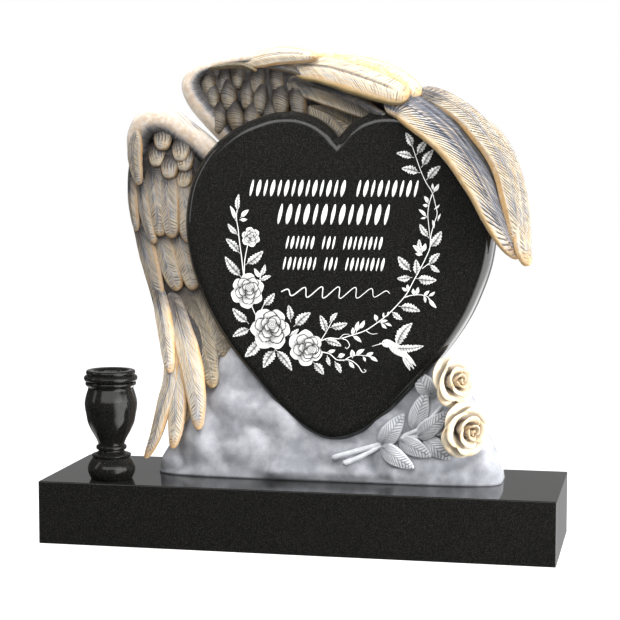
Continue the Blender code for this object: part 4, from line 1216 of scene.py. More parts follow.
# Petals of a rose from its heart outwards, for a rose 1 m across:
# (how many, first turn in degrees, spread in degrees, base radius, length, slopes, overlap)
ROSE_RINGS = (
    (1, 20, 345, 0.022, 0.60, (88, 92, 84), 0.018),
    (1, 190, 345, 0.064, 0.62, (86, 93, 70), 0.022),
    (2, 80, 230, 0.105, 0.61, (80, 90, 45), 0.026),
    (3, 20, 170, 0.150, 0.60, (64, 80, -20), 0.028),
    (3, 75, 155, 0.180, 0.60, (38, 58, -65), 0.024),
    (3, 15, 150, 0.170, 0.58, (12, 38, -85), 0.022),
)


def petal(name, turn, spread, base_radius, length, angles, lift, overlap, seed, bud):
    """A petal: a strip that leaves the rose's heart, rises and rolls out at its rim.

    angles are its slopes in degrees at the base, below the rim and at the rim."""
    mesh, s, t = flat_grid(name, 18, 15)
    along = t * (1 - 0.34 * np.abs(s) ** 2.6 + 0.03 * np.sin(5 * s + seed))
    steps = np.linspace(0, 1, 200)
    slopes = np.radians(np.interp(steps, (0.0, 0.74, 1.0), angles))[:-1]
    outwards, upwards = (
        length * np.concatenate([[0], np.cumsum(run)]) / 199 for run in (np.cos(slopes), np.sin(slopes))
    )
    radius = np.interp(along, steps, base_radius + outwards) + overlap * s
    height = np.interp(along, steps, lift + upwards)
    angle = turn + s * spread / 2 * (0.72 + 0.28 * np.sqrt(t))
    places = np.column_stack([radius * np.cos(angle), radius * np.sin(angle), height])
    # low marks each petal's base, where the finish paints shade; bud marks the inner rings
    return shape_mesh(mesh, places, rim=ease(0.55, 0.97, t), low=1 - t, bud=bud)


def make_rose(name, node, diameter, facing, turn_by, finish):
    """A full rose head, its petals overlapping in rings, in the place of its node."""
    low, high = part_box(node)
    facing = Vector(facing).normalized()
    seat = (low + high) / 2 - facing * diameter * SEAT_DROP
    turned = Matrix.Translation(seat) @ Vector((0, 0, 1)).rotation_difference(facing).to_matrix().to_4x4()
    meshes = []
    for ring, (count, first, spread, base, length, angles, overlap) in enumerate(ROSE_RINGS):
        bud = 1 - ring / (len(ROSE_RINGS) - 1)
        for number in range(count):
            turn = first + turn_by + number * 360 / count + 4 * ((number * 7 + ring * 3) % 5)
            shape = petal(
                f"petal_{ring}_{number}", math.radians(turn), math.radians(spread), base * diameter,
                length * diameter, angles, -RING_DROP * ring * diameter, overlap * diameter,
                3 * ring + number, bud,
            )
            bm = bmesh.new()
            bm.from_mesh(shape)
            bmesh.ops.solidify(bm, geom=bm.faces[:], thickness=PETAL_THICKNESS * diameter)
            bmesh.ops.recalc_face_normals(bm, faces=bm.faces)
            bmesh.ops.transform(bm, matrix=turned, verts=bm.verts)
            bm.to_mesh(shape)
            bm.free()
            meshes.append(shape)
    rose = joined(name, meshes, finish)
    soften = rose.modifiers.new("rounded rims", "SUBSURF")
    soften.levels = soften.render_levels = 1
    dress(rose, "cream_rose", node)


def rose_finish(settings):
    """Cream petals: golden rims, paler and greyer inside, browner towards the rose's heart, partly its own
    tint and partly painted shade, and brown painted shade in the depths.
    """
    made, tree, shader, height = material("cream_petals", 0.48, bump=0.0003)
    where = object_place(tree)
    blotch = cloud(tree, where, 60, 3)
    colour = mixed(tree, mark(tree, "rim"), (*tint(226, 220, 211), 1), (*settings.cream, 1))
    gilt = product(tree, mark(tree, "rim"), ranged(tree, blotch, 0.45, 0.70, 0.0, 0.55))
    colour = mixed(tree, gilt, colour, (*settings.gold, 1))
    # Browner towards the heart: partly the rose's own tint, partly painted shade
    colour = mixed(tree, product(tree, mark(tree, "bud"), 0.8), colour, (*tint(166, 142, 108), 1))
    # Painted shade, brown in the depths at the petals' bases
    depth = reckoned(tree, "POWER", mark(tree, "low"), 2.0)
    colour = mixed(tree, depth, colour, (*tint(110, 88, 60), 1))
    tree.links.new(colour, shader.inputs["Base Color"])
    tree.links.new(cloud(tree, where, 480, 2), height)
    return made


# Engraving on the heart's face, laid out on a grid whose cells are this wide and tall, from this place


CELL_WIDTH = 0.00237
CELL_HEIGHT = 0.00233
GRID_X = HEART_X - 0.0878
GRID_Z = HEART_TIP_Z + 0.0899
GRID_TILT = 0.013

# How far the inlay stands before the heart's face and reaches behind its own, and each step above it
ENGRAVED_PROUD = 0.0003
ENGRAVED_SUNK = 0.0006
PLATE_STEP = 0.00004

# A drawn leaf's stalk as a share of its length, the length of its teeth and the width of its midrib, and the
# half width in cells under which it has neither teeth nor a fine grid
STALK_SHARE = 0.16
TOOTH_LENGTH = 0.0065
RIB_WIDTH = 0.0009
SMALL_LEAF = 2.4


def on_face(column, row):
    """The x and z of a place on the engraving's grid."""
    along = column * CELL_WIDTH
    return np.array([GRID_X + along, GRID_Z + row * CELL_HEIGHT + GRID_TILT * along])


def plate(mesh, x, z, tone, keep=None, step=0):
    """Lays a flat grid on the heart's face as a thin inlay, keeping only the marked points' faces.

    A plate of a higher step lies over the others."""
    face = np.full(len(x), HEART_FACE_Y - ENGRAVED_PROUD - step * PLATE_STEP)
    shape_mesh(mesh, np.column_stack([x, face, z]), tone=np.clip(tone, 0, 1))
    bm = bmesh.new()
    bm.from_mesh(mesh)
    if keep is not None:
        bm.verts.ensure_lookup_table()
        outside = [f for f in bm.faces if not any(keep[v.index] for v in f.verts)]
        bmesh.ops.delete(bm, geom=outside, context="FACES")
    bmesh.ops.recalc_face_normals(bm, faces=bm.faces)
    if sum(f.normal.y * f.calc_area() for f in bm.faces) > 0:
        bmesh.ops.reverse_faces(bm, faces=bm.faces)
    sunk = bmesh.ops.extrude_face_region(bm, geom=bm.faces[:])
    for part in sunk["geom"]:
        if isinstance(part, bmesh.types.BMVert):
            part.co.y += ENGRAVED_SUNK
    bmesh.ops.recalc_face_normals(bm, faces=bm.faces)
    bm.to_mesh(mesh)
    bm.free()
    return mesh


def engraved_leaf(name, base, tip, half, bend=0.0, veins=5, shading=1.0, step=1, toothed=0.42):
    """A leaf with a toothed edge, a dark midrib and side veins, on a short stalk. half is in cells."""
    fine = half > SMALL_LEAF
    mesh, s, t = flat_grid(name, 10, 32) if fine else flat_grid(name, 8, 20)
    base, tip = on_face(*base), on_face(*tip)
    half *= CELL_WIDTH
    ahead = tip - base
    length = np.linalg.norm(ahead)
    ahead = ahead / length
    beside = np.array([ahead[1], -ahead[0]])
    on_blade = np.clip((t - STALK_SHARE) / (1 - STALK_SHARE), 0, 1)
    along = t * (1 + STALK_SHARE) - STALK_SHARE
    teeth = max(round(length / TOOTH_LENGTH), 2)
    saw = (on_blade * teeth) % 1.0
    width = half * np.sin(math.pi * on_blade**0.72) ** 0.75
    width *= 1 - toothed * saw * (np.abs(s) > 0.8) * fine
    width = np.maximum(width, 0.32 * CELL_WIDTH * (t < 0.6))
    bow = bend * length * np.sin(math.pi * np.maximum(along, 0))
    x = base[0] + ahead[0] * along * length + beside[0] * (s * width + bow)
    z = base[1] + ahead[1] * along * length + beside[1] * (s * width + bow)
    broad = min(half / (4 * CELL_WIDTH), 1.0)
    rib = np.exp(-((s * width / RIB_WIDTH) ** 2)) * (on_blade > 0.02) * (on_blade < 0.9)
    vein = (0.5 + 0.5 * np.cos(math.tau * (on_blade * veins - 0.6 * np.abs(s) + 0.2))) ** 4
    vein = vein * (np.abs(s) > 0.1) * (np.abs(s) < 0.85)
    shade = 0.40 * (1 - ease(0.0, 0.7, on_blade)) * (s > 0) + 0.30 * (1 - ease(0.0, 0.75, np.abs(s)))
    tone = 0.97 - broad * (shading * (0.75 * rib + shade) + 0.48 * vein)
    return plate(mesh, x, z, tone, step=step)


def engraved_line(name, points, start, end, rows=60, tone=0.86, step=0):
    """A drawn line that thins from start to end, in metres."""
    mesh, s, t = flat_grid(name, 1, rows)
    points = np.asarray(points, float)
    places = curve_through(points, t)
    ahead = curve_through(points, t + 0.01) - curve_through(points, t - 0.01)
    ahead /= np.linalg.norm(ahead, axis=1, keepdims=True)
    width = (start + (end - start) * t) / 2
    x = places[:, 0] + ahead[:, 1] * s * width
    z = places[:, 1] - ahead[:, 0] * s * width
    return plate(mesh, x, z, tone, step=step)


# Rings of a drawn rose, outermost first: (petals, their middle's radius, their radius, first turn in degrees)
DRAWN_RINGS = (
    (6, 0.60, 0.42, 10),
    (5, 0.46, 0.36, 40),
    (4, 0.30, 0.30, 5),
    (3, 0.16, 0.24, 30),
    (1, 0.00, 0.20, 0),
)
ROSE_STEP = 5


def engraved_rose(name, centre, radius, core, turn, cells):
    """A drawn rose: rings of overlapping petals round its core, white at the rim and hatched within."""
    mesh, s, t = flat_grid(name, cells, cells)
    px, pz = s * 1.06, (2 * t - 1) * 1.06
    tone = np.zeros(len(s))
    inside = np.zeros(len(s), bool)
    nearest = np.full(len(s), 9.0)
    snap = np.zeros((len(s), 2))
    for ring, (count, out, size, first) in enumerate(DRAWN_RINGS):
        shift = ring / (len(DRAWN_RINGS) - 1)
        for number in range(count):
            angle = math.radians(first + turn) + number * math.tau / count
            reach = size * (1 + 0.10 * math.sin(number * 2.3 + ring))
            cx = out * math.cos(angle) + core[0] * shift
            cz = out * math.sin(angle) + core[1] * shift
            dx, dz = px - cx, pz - cz
            apart = np.hypot(dx, dz)
            around = np.arctan2(dz, dx)
            edge = reach * (1 + 0.035 * np.sin(around * 5 + number * 2 + ring))
            depth = (edge - apart) / reach
            outward = (dx * math.cos(angle) + dz * math.sin(angle)) / reach
            inner = 1 - ease(-0.20, 0.80, outward)
            hatch = 0.5 + 0.5 * np.cos(around * 26 + ring)
            fresh = 0.98 - inner * (0.24 + 0.12 * ring) - 0.50 * inner * hatch
            fresh = np.where(depth < (0.13 + 0.03 * ring) * (ring > 0), 0.03, fresh)
            here = depth > 0
            tone = np.where(here, fresh, tone)
            inside |= here
            if ring == 0:
                closer = apart - edge < nearest
                nearest = np.where(closer, apart - edge, nearest)
                scale = edge / np.maximum(apart, 1e-6)
                snap = np.where(closer[:, None], np.column_stack([cx + dx * scale, cz + dz * scale]), snap)
    px = np.where(inside, px, snap[:, 0])
    pz = np.where(inside, pz, snap[:, 1])
    tone = np.where(inside, tone, 0.9)
    dx, dz = px - core[0], pz - core[1]
    swirl = np.hypot(dx, dz)
    curl = (0.5 + 0.5 * np.cos(swirl * 75 - np.arctan2(dz, dx))) ** 2
    tone = np.clip(np.where(swirl < 0.20, 0.85 - 0.75 * curl, tone), 0, 1) ** 1.4
    return plate(mesh, centre[0] + px * radius, centre[1] + pz * radius, tone, keep=inside, step=ROSE_STEP)


# Drawn stems: (width in cells at the start, cells of points along it)
DRAWN_STEMS = (
    (1.1, ((-57, 125), (-59, 143), (-61, 158), (-62.5, 172), (-64, 182), (-63.5, 191))),
    (1.1, ((-56.5, 125), (-56, 138), (-54, 150), (-52, 158))),
    (0.9, ((-41, 110), (-40.5, 118), (-39.5, 128))),
    (0.9, ((-40, 88), (-37, 94), (-35, 99))),
    (1.0, ((-49, 94), (-44, 83))),
    (1.1, ((21, 59), (30, 62), (40, 61.5), (52, 65), (66, 70), (78, 78), (88, 86), (95, 93), (103, 102),
           (108, 109), (113, 119), (119, 130), (124, 140), (129, 152), (130, 164), (133, 176), (136, 186),
           (134, 196), (131, 207), (125, 217), (120, 228), (115, 242), (111, 254))),
    (0.9, ((131, 205), (128, 195), (127, 185), (128, 174), (129.5, 160))),
    (0.8, ((122, 132), (127, 136), (130, 138))),
    (1.0, ((104, 103), (110, 105), (118, 106), (126, 104.5), (131, 100))),
    (0.9, ((40, 62), (47, 60), (50, 55), (47.5, 51.5), (45.8, 53))),
    (1.1, ((21, 48), (30, 46), (38, 40), (50, 40), (58, 35), (63, 28), (66.5, 29), (64.5, 31))),
    (0.9, ((44, 39), (51, 43.5), (60, 45), (72, 43.5))),
    (0.8, ((66, 70), (72, 66.5), (78, 67))),
    (0.9, ((21, 59), (26, 67), (31, 76), (34, 82))),
    (0.8, ((40, 61.5), (44, 65.5), (50, 66))),
)

# Drawn roses: (column, row, radius in cells, where the heart of the flower lies off its middle, turn)
DRAWN_ROSES = (
    (-53, 109, 17.0, 0.10, 0.22, 15),
    (-30, 70.5, 20.5, 0.10, 0.22, 50),
    (6, 52, 17.5, 0.32, -0.10, 80),
    (-49.5, 163.5, 9.5, 0.05, 0.15, 30),
)

# Drawn leaves: (base column, row, tip column, row, half width), in cells
DRAWN_LEAVES = (
    (-63, 191, -61.5, 207, 2.9), (-65.5, 182, -70.5, 195, 2.0), (-59, 184, -51.5, 191, 2.2),
    (-60, 181, -53, 181.5, 1.7), (-64, 167, -73, 177, 3.0), (-62.5, 149, -75, 162, 4.5),
    (-61, 125, -76, 144, 5.5), (-53, 137, -37, 149.5, 5.0), (-40, 123, -46, 132, 2.2),
    (-39, 125, -35, 136, 2.7), (-39, 120, -29, 124.5, 2.6), (-36, 95, -25.5, 107, 4.3),
    (-54, 78, -68.5, 91.5, 5.0), (-52, 70, -68.5, 62.5, 4.3), (-41, 58, -56, 42, 6.0),
    (-26, 48, -37, 31, 6.0), (-23, 48, -8, 28.5, 5.5), (-9.5, 80, -11.5, 95, 4.0),
    (-4, 75, 11, 87.5, 5.5), (-9, 65, -1, 71, 2.5), (15, 36, 24, 25, 4.5),
    (26, 69, 20.5, 85, 4.2), (31, 79, 38, 87.5, 2.8), (32, 73, 48, 77, 4.3), (27, 59.5, 42, 54, 4.0),
    (28, 43, 30.5, 34, 2.5), (36, 37, 41.5, 26.5, 3.2), (29, 48, 36, 50, 1.8), (39, 43, 45.5, 45.5, 2.2),
    (53, 43, 52.5, 50.5, 2.4), (57, 45.5, 65, 51, 2.0), (67, 45, 74, 48, 1.8), (71, 43, 78, 39, 1.8),
    (50, 38, 55, 32, 1.8), (64, 43, 66, 38.5, 1.3), (53, 66, 53.5, 73, 1.8), (57, 69, 59, 79, 2.0),
    (60, 72, 65, 80, 2.0), (54, 64, 62, 58, 1.8), (77, 80, 75, 86, 2.0), (84, 83, 84, 88, 1.0),
    (88, 85, 88.5, 89, 1.0), (81, 78.5, 88, 80, 1.3), (82, 77, 87, 72, 1.5), (86, 77, 92, 74.5, 1.3),
    (93, 88, 102.5, 81, 3.2), (101, 94, 120, 89.5, 4.8), (111, 253, 105, 266, 4.0), (117, 246, 126, 258, 4.0),
    (111, 242, 96, 246, 4.0), (122, 234, 132, 249, 4.3), (117, 227, 101, 231, 4.8), (127, 221, 139, 233, 4.5),
    (133, 208, 137.5, 215.5, 1.8), (132, 210, 131.5, 216, 1.2), (127, 197, 123.5, 203.5, 1.8),
    (127, 194, 122, 195, 1.5), (125, 184, 118, 190.5, 1.6), (125, 182.5, 120, 181.5, 1.0),
    (134, 191, 138.5, 195, 0.9), (137, 180, 139.5, 186, 0.9), (133, 173, 131.5, 180, 1.2),
    (127, 164, 119, 176, 3.4), (130, 154, 140.5, 169, 5.0), (121, 147, 118.5, 161, 3.2),
    (120, 148, 112.5, 155, 2.4), (121, 146, 115, 147, 1.6), (122, 149, 125, 157, 2.0),
    (109, 131, 98, 144, 5.0), (116, 127, 115.5, 141, 4.0), (129, 137, 139, 147, 3.8),
    (130, 135, 139, 128.5, 2.8), (110, 123, 97, 122, 3.6), (118, 122, 136, 120.5, 5.3),
    (107, 110, 102, 113, 1.5), (108, 111, 107, 116, 1.5), (114, 106, 113, 112, 1.6),
    (116, 106.5, 118, 113.5, 1.8), (124, 105, 129, 110, 1.5), (129, 105, 134.5, 109, 1.4),
    (124, 104, 125, 98, 1.3), (129, 101, 136, 93, 1.9),
)


def engraved_bird():
    """A small hovering bird of plain traditional drawing."""
    beak = [on_face(*cell) for cell in ((87, 57.5), (80, 56.3), (72.5, 54))]
    eye = [on_face(*cell) for cell in ((83.6, 57.6), (84.4, 57.7), (85.2, 57.6))]
    return [
        engraved_leaf("bird_wing_far", (97, 56), (112.5, 78), 6.0, bend=-0.08, veins=9, shading=0.9, step=1),
        engraved_leaf("bird_tail_under", (103, 46), (110.5, 30), 2.2, veins=3, step=1),
        engraved_leaf("bird_tail", (103, 47), (114.5, 31.5), 2.5, veins=3, step=2),
        engraved_leaf("bird_tail_over", (104, 48.5), (116.5, 34.5), 1.8, veins=3, step=3),
        engraved_line("bird_beak", beak, 0.0026, 0.0010, rows=12, step=2),
        engraved_leaf("bird_body", (89, 57), (109.5, 43), 5.0, veins=7, shading=0.35, step=4, toothed=0.0),
        engraved_leaf("bird_head", (82, 57.2), (95, 57.2), 3.9, veins=1, shading=0.0, step=5, toothed=0.0),
        engraved_leaf("bird_wing_near", (97, 53), (124, 55), 4.2, bend=0.06, veins=9, shading=0.9, step=6),
        engraved_line("bird_eye", eye, 0.0022, 0.0022, rows=4, tone=0.1, step=7),
    ]


# Rows of plain chisel strokes above the picture:
# (left x, right x, z of their middle, height, strokes in each cluster)
STROKE_ROWS = (
    (-0.1202, 0.2766, 0.8424, 0.0380, (14, 9)),
    (-0.0531, 0.2095, 0.7820, 0.0470, (13,)),
    (-0.0341, 0.1933, 0.7158, 0.0300, (6, 3, 8)),
    (-0.0413, 0.1982, 0.6668, 0.0300, (7, 3, 8)),
)
STROKE_LEAN = 0.22
STROKE_HALF_WIDTHS = (0.20, 0.30)
CLUSTER_GAP = 1.2

# The waved line under the strokes: its left end and level, its length, its swing and how many waves it has
FLOURISH_PLACE = (-0.046, 0.600)
FLOURISH_LENGTH = 0.258
FLOURISH_SWING = 0.0135
FLOURISH_WAVES = 6.5


def engraved_strokes():
    """Rows of leaning strokes, pointed at both ends and in turn thin and thick, over a waved line."""
    shapes = []
    for row, (left, right, level, tall, clusters) in enumerate(STROKE_ROWS):
        lean = STROKE_LEAN * tall
        pitch = (right - left - lean) / (sum(clusters) - 1 + CLUSTER_GAP * (len(clusters) - 1))
        x = left + lean / 2
        for cluster in clusters:
            for number in range(cluster):
                mesh, s, t = flat_grid(f"stroke_{row}_{number}", 2, 10)
                taper = np.sin(math.pi * np.clip(t, 0.02, 0.98)) ** 0.5
                width = STROKE_HALF_WIDTHS[number % 2] * pitch * taper
                shapes.append(plate(mesh, x + (t - 0.5) * lean + s * width, level + (t - 0.5) * tall, 1.0))
                x += pitch
            x += CLUSTER_GAP * pitch
    knots = np.linspace(0, 1, 100)
    swing = FLOURISH_SWING * np.sin(knots * math.tau * FLOURISH_WAVES) * np.sin(math.pi * knots) ** 0.4
    start, level = FLOURISH_PLACE
    wave = np.column_stack([start + FLOURISH_LENGTH * knots + 0.6 * swing, level + swing])
    shapes.append(engraved_line("flourish", wave, 0.0030, 0.0016, rows=300))
    return shapes


def make_engraving(finish):
    """The drawing on the heart: stems, leaves, roses, a bird, and rows of strokes."""
    shapes = []
    for number, (width, cells) in enumerate(DRAWN_STEMS):
        points = [on_face(*cell) for cell in cells]
        start = width * CELL_WIDTH
        shapes.append(engraved_line(f"stem_{number}", points, start, 0.6 * start, rows=12 * len(cells)))
    for number, (column, row, tip_column, tip_row, half) in enumerate(DRAWN_LEAVES):
        bend = 0.05 if number % 2 else -0.05
        base, tip = (column, row), (tip_column, tip_row)
        shapes.append(engraved_leaf(f"leaf_{number}", base, tip, half, bend, step=1 + number % 4))
    for number, (column, row, radius, aside, above, turn) in enumerate(DRAWN_ROSES):
        centre = on_face(column, row)
        cells = 64 if radius > 12 else 40
        core = (aside, above)
        shapes.append(engraved_rose(f"rose_{number}", centre, radius * CELL_WIDTH, core, turn, cells))
    shapes += engraved_bird()
    shapes += engraved_strokes()
    dress(joined("heart_engraving", shapes, finish), "black_granite")


# Stage


# The camera, fitted to the slab's corners in the photograph
SENSOR_WIDTH = 36
CAMERA_LENS = 103.39
CAMERA_TARGET = Vector((0.008273, 0.0, 0.551286))
CAMERA_AZIMUTH = math.radians(11.7267)
CAMERA_ELEVATION = math.radians(5.3189)
CAMERA_DISTANCE = 4.24015

# Soft boxes: name, place, the place that it points at, width, height, the setting of its power, its spread
# in degrees and whether polished faces mirror it
SOFT_BOXES = (
    ("overhead_box", (0.3, -1.3, 3.2), (0.15, 0.0, 0.6), 5.0, 3.2, "overhead", 180, False),
    ("left_box", (-2.8, -1.2, 1.6), (0.0, 0.0, 0.6), 0.7, 2.0, "left", 180, True),
    ("crown_box", (-0.15, -1.2, 2.2), (-0.02, 0.0, 1.17), 0.5, 0.5, "crown", 40, False),
    ("right_box", (2.4, -0.7, 0.50), (0.42, 0.0, 0.22), 0.8, 0.6, "right", 45, False),
)
FLOOR_REACH = 14


def soft_light(name, place, aim, width, height, power, spread, mirrored):
    """A soft box that points at a place."""
    lamp = bpy.data.lights.new(name, "AREA")
    lamp.shape = "RECTANGLE"
    lamp.size = width
    lamp.size_y = height
    lamp.energy = power
    lamp.spread = math.radians(spread)
    made = bpy.data.objects.new(name, lamp)
    made.location = place
    made.rotation_euler = (Vector(aim) - Vector(place)).to_track_quat("-Z", "Y").to_euler()
    made.visible_glossy = mirrored
    bpy.context.scene.collection.objects.link(made)


def make_world(settings):
    """A white surround: brighter from above for the stone, and its own levels in polished faces."""
    world = bpy.data.worlds.new("white_surround")
    bpy.context.scene.world = world
    world.use_nodes = True
    tree = world.node_tree
    tree.nodes.clear()
    seen = tree.nodes.new("ShaderNodeLightPath").outputs
    place = tree.nodes.new("ShaderNodeTexCoord").outputs["Generated"]
    towards = place_node(tree, "ShaderNodeSeparateXYZ", {0: place}).outputs

    def by(axis, low, high, first=0.0, last=1.0):
        """A level that goes from first to last as a direction turns along an axis."""
        return ranged(tree, towards[axis], low, high, first, last)

    behind = by("Z", -0.02, 0.03, settings.mirror_floor, settings.mirror_back)
    behind = total(tree, behind, by("Z", -0.50, -0.28, settings.mirror_below, 0.0))
    behind = product(tree, behind, by("X", -0.55, -0.35, 0.25, 1.0))
    front = by("Z", -0.30, 0.02, 0.4 * settings.mirror_front, settings.mirror_front)
    around = mixed(tree, by("Y", -0.10, 0.45), front, behind)
    beside = product(tree, by("X", 0.40, 0.75, 0.0, settings.mirror_right), by("Z", 0.20, 0.45, 1.0, 0.0))
    above = product(tree, by("Z", 0.12, 0.30), by("Z", 0.50, 0.60, 1.0, 0.0))
    above = product(tree, above, by("Y", -0.45, -0.20, settings.mirror_above, 0.0))
    above = product(tree, above, by("X", -0.55, -0.35))
    mirrored = total(tree, around, total(tree, beside, above))
    shining = by("Z", -0.2, 1.0, settings.surround_low, settings.surround_high)
    bent = mixed(tree, seen["Is Glossy Ray"], shining, mirrored)
    level = mixed(tree, seen["Is Camera Ray"], bent, (1, 1, 1, 1))
    white = place_node(tree, "ShaderNodeBackground", {"Color": level, "Strength": 1.0})
    out = tree.nodes.new("ShaderNodeOutputWorld")
    tree.links.new(white.outputs[0], out.inputs["Surface"])


def make_floor(settings):
    """A pale floor that glows a little towards the camera, as in the photograph."""
    bm = bmesh.new()
    bmesh.ops.create_grid(bm, x_segments=1, y_segments=1, size=FLOOR_REACH)
    made, tree, shader, _ = material("pale_floor", 0.9)
    shader.inputs["Base Color"].default_value = (*settings.floor, 1)
    shader.inputs["Specular IOR Level"].default_value = 0.0
    shader.inputs["Emission Color"].default_value = (1, 1, 1, 1)
    seen = tree.nodes.new("ShaderNodeLightPath").outputs["Is Camera Ray"]
    tree.links.new(product(tree, seen, settings.floor_glow), shader.inputs["Emission Strength"])
    floor = joined("studio_floor", [mesh_of(bm, "studio_floor")], made)
    floor.visible_glossy = False


def make_camera():
    """The camera at the photograph's angle."""
    lens = bpy.data.cameras.new("photo_camera")
    lens.sensor_width = SENSOR_WIDTH
    lens.lens = CAMERA_LENS
    camera = bpy.data.objects.new("photo_camera", lens)
    level = math.cos(CAMERA_ELEVATION)
    back = Vector((
        math.sin(CAMERA_AZIMUTH) * level, -math.cos(CAMERA_AZIMUTH) * level, math.sin(CAMERA_ELEVATION)
    ))
    camera.location = CAMERA_TARGET + back * CAMERA_DISTANCE
    camera.rotation_euler = (-back).to_track_quat("-Z", "Y").to_euler()
    bpy.context.scene.collection.objects.link(camera)
    bpy.context.scene.camera = camera


def make_stage(settings):
    """The floor, the surround, the soft boxes and the camera."""
    bpy.context.scene.view_settings.view_transform = "Standard"
    make_floor(settings)
    make_world(settings)
    for name, place, aim, width, height, power, spread, mirrored in SOFT_BOXES:
        soft_light(name, place, aim, width, height, getattr(settings, power), spread, mirrored)
    make_camera()


# Settings, operators and panel


def colour_setting(name, description, default):
    """A colour that a user may change."""
    return bpy.props.FloatVectorProperty(
        name=name, description=description, subtype="COLOR", size=3, min=0, max=1, default=default
    )


def level_setting(name, description, default, **kind):
    """A share, level or power that a user may change."""
    return bpy.props.FloatProperty(name=name, description=description, default=default, min=0, **kind)


def length_setting(name, description, default):
    """A size that a user may change."""
    return level_setting(name, description, default, unit="LENGTH", precision=4)


class HEADSTONE_PG_granite(bpy.types.PropertyGroup):
    ground: colour_setting("Ground", "Colour of the granite between its flecks", (0.0058, 0.0058, 0.0054))
    fleck: colour_setting("Flecks", "Colour of the granite's flecks", tint(47, 46, 44))
    polish: level_setting("Roughness", "Roughness of the polished faces", 0.09, max=1, subtype="FACTOR")
    arris: length_setting("Arris", "Width of the slab's polished arris", 0.0028)
    edge_round: length_setting("Edge", "Radius of the heart's pillowed edge", 0.027)
    bore_mouth: length_setting("Bore mouth", "Width of the vase's bore at its mouth", 0.076)
    bore_end: length_setting("Bore end", "Width of the vase's bore at its end", 0.046)
    bore_depth: length_setting("Bore depth", "Depth of the vase's bore", 0.150)


class HEADSTONE_PG_stone(bpy.types.PropertyGroup):
    dark: colour_setting("Dark", "Darker clouds of the rock", tint(132, 134, 140))
    pale: colour_setting("Pale", "Paler clouds of the rock", tint(177, 178, 183))
    leaf_dark: colour_setting("Leaf dark", "Darker clouds of the sprig", tint(172, 174, 178))
    leaf_pale: colour_setting("Leaf pale", "Paler clouds of the sprig", tint(216, 218, 221))


class HEADSTONE_PG_wings(bpy.types.PropertyGroup):
    cream: colour_setting("Cream", "Raised parts of the feathers", tint(238, 222, 194))
    gold: colour_setting("Gold", "Margins of the feathers", tint(206, 166, 114))
    grey: colour_setting("Grey", "Vanes of the feathers", tint(176, 180, 190))
    # Slate and Deep serve the patina's recesses and cuts, and the painted shade at roots, under covering
    # feathers and in the hollows
    slate: colour_setting("Slate", "Recesses between feathers", tint(88, 94, 107))
    deep: colour_setting("Deep", "Cuts of the barbs", tint(62, 56, 54))
    limbs: colour_setting("Limbs", "Smooth arms of the wings", tint(208, 199, 187))
    flank: colour_setting("Flank", "Warm side of the arms", tint(152, 131, 108))
    groove: colour_setting("Groove", "Grooves of the arms", tint(34, 31, 30))
    # Painted shade: the shares of their brightness that the darker copies of the patina keep
    shade: level_setting("Shade", "Share of their brightness that the left coverts keep", 0.49, max=1)
    hollow_shade: level_setting("Hollow shade", "Share of their brightness that the inner coverts keep", 0.27, max=1)


class HEADSTONE_PG_roses(bpy.types.PropertyGroup):
    cream: colour_setting("Cream", "Rims of the petals", tint(226, 212, 186))
    gold: colour_setting("Gold", "Deeper tint on the rims", tint(198, 162, 110))
    upper: length_setting("Upper rose", "Width of the upper rose head", 0.088)
    lower: length_setting("Lower rose", "Width of the lower rose head", 0.096)


class HEADSTONE_PG_engraving(bpy.types.PropertyGroup):
    white: colour_setting("White", "Full strength of the drawing", tint(244, 244, 242))


class HEADSTONE_PG_stage(bpy.types.PropertyGroup):
    floor: colour_setting("Floor", "Colour of the floor", (0.42, 0.42, 0.42))
    floor_glow: level_setting("Floor glow", "Light that the floor adds towards the camera", 0.72)
    surround_low: level_setting("Surround below", "Light on the stone from low down", 0.24)
    surround_high: level_setting("Surround above", "Light on the stone from above", 0.85)
    mirror_front: level_setting("Mirrored front", "Level that polished faces mirror from the front", 0.12)
    mirror_back: level_setting("Mirrored back", "Level that polished faces mirror from behind", 0.36)
    mirror_right: level_setting("Mirrored right", "Level that polished faces mirror from the right", 6.0)
    mirror_floor: level_setting("Mirrored floor", "Level that polished faces mirror from the floor", 0.42)
    mirror_below: level_setting("Mirrored below", "Level that polished faces mirror from well below", 4.6)
    mirror_above: level_setting("Mirrored above", "Level that polished faces mirror from above", 3.8)
    overhead: level_setting("Overhead", "Power of the overhead box", 215, unit="POWER")
    left: level_setting("Left", "Power of the left box", 9, unit="POWER")
    crown: level_setting("Crown", "Power of the box on the upper wing", 1.3, unit="POWER")
    right: level_setting("Right", "Power of the right box", 6.5, unit="POWER")


def shared_group(name, build):
    """A shader group, built once."""
    return bpy.data.node_groups.get(name) or build()


class HEADSTONE_OT_granite(bpy.types.Operator):
    """Makes the slab, the heart and the vase of polished black granite"""

    bl_idname = "headstone.granite"
    bl_label = "Slab, heart and vase"

    def execute(self, context):
        settings = context.scene.headstone_granite
        group = shared_group("granite_grain", grain_group)
        polished = granite_finish(group, settings, "black_granite", 0.42)
        make_slab(settings, polished)
        make_heart(settings, polished)
        make_vase(settings, granite_finish(group, settings, "turned_granite", 0.22))
        return {"FINISHED"}


class HEADSTONE_OT_engraving(bpy.types.Operator):
    """Draws the vines, roses, bird and strokes on the heart"""

    bl_idname = "headstone.engraving"
    bl_label = "Engraving"

    def execute(self, context):
        make_engraving(engraving_finish(context.scene.headstone_engraving))
        return {"FINISHED"}


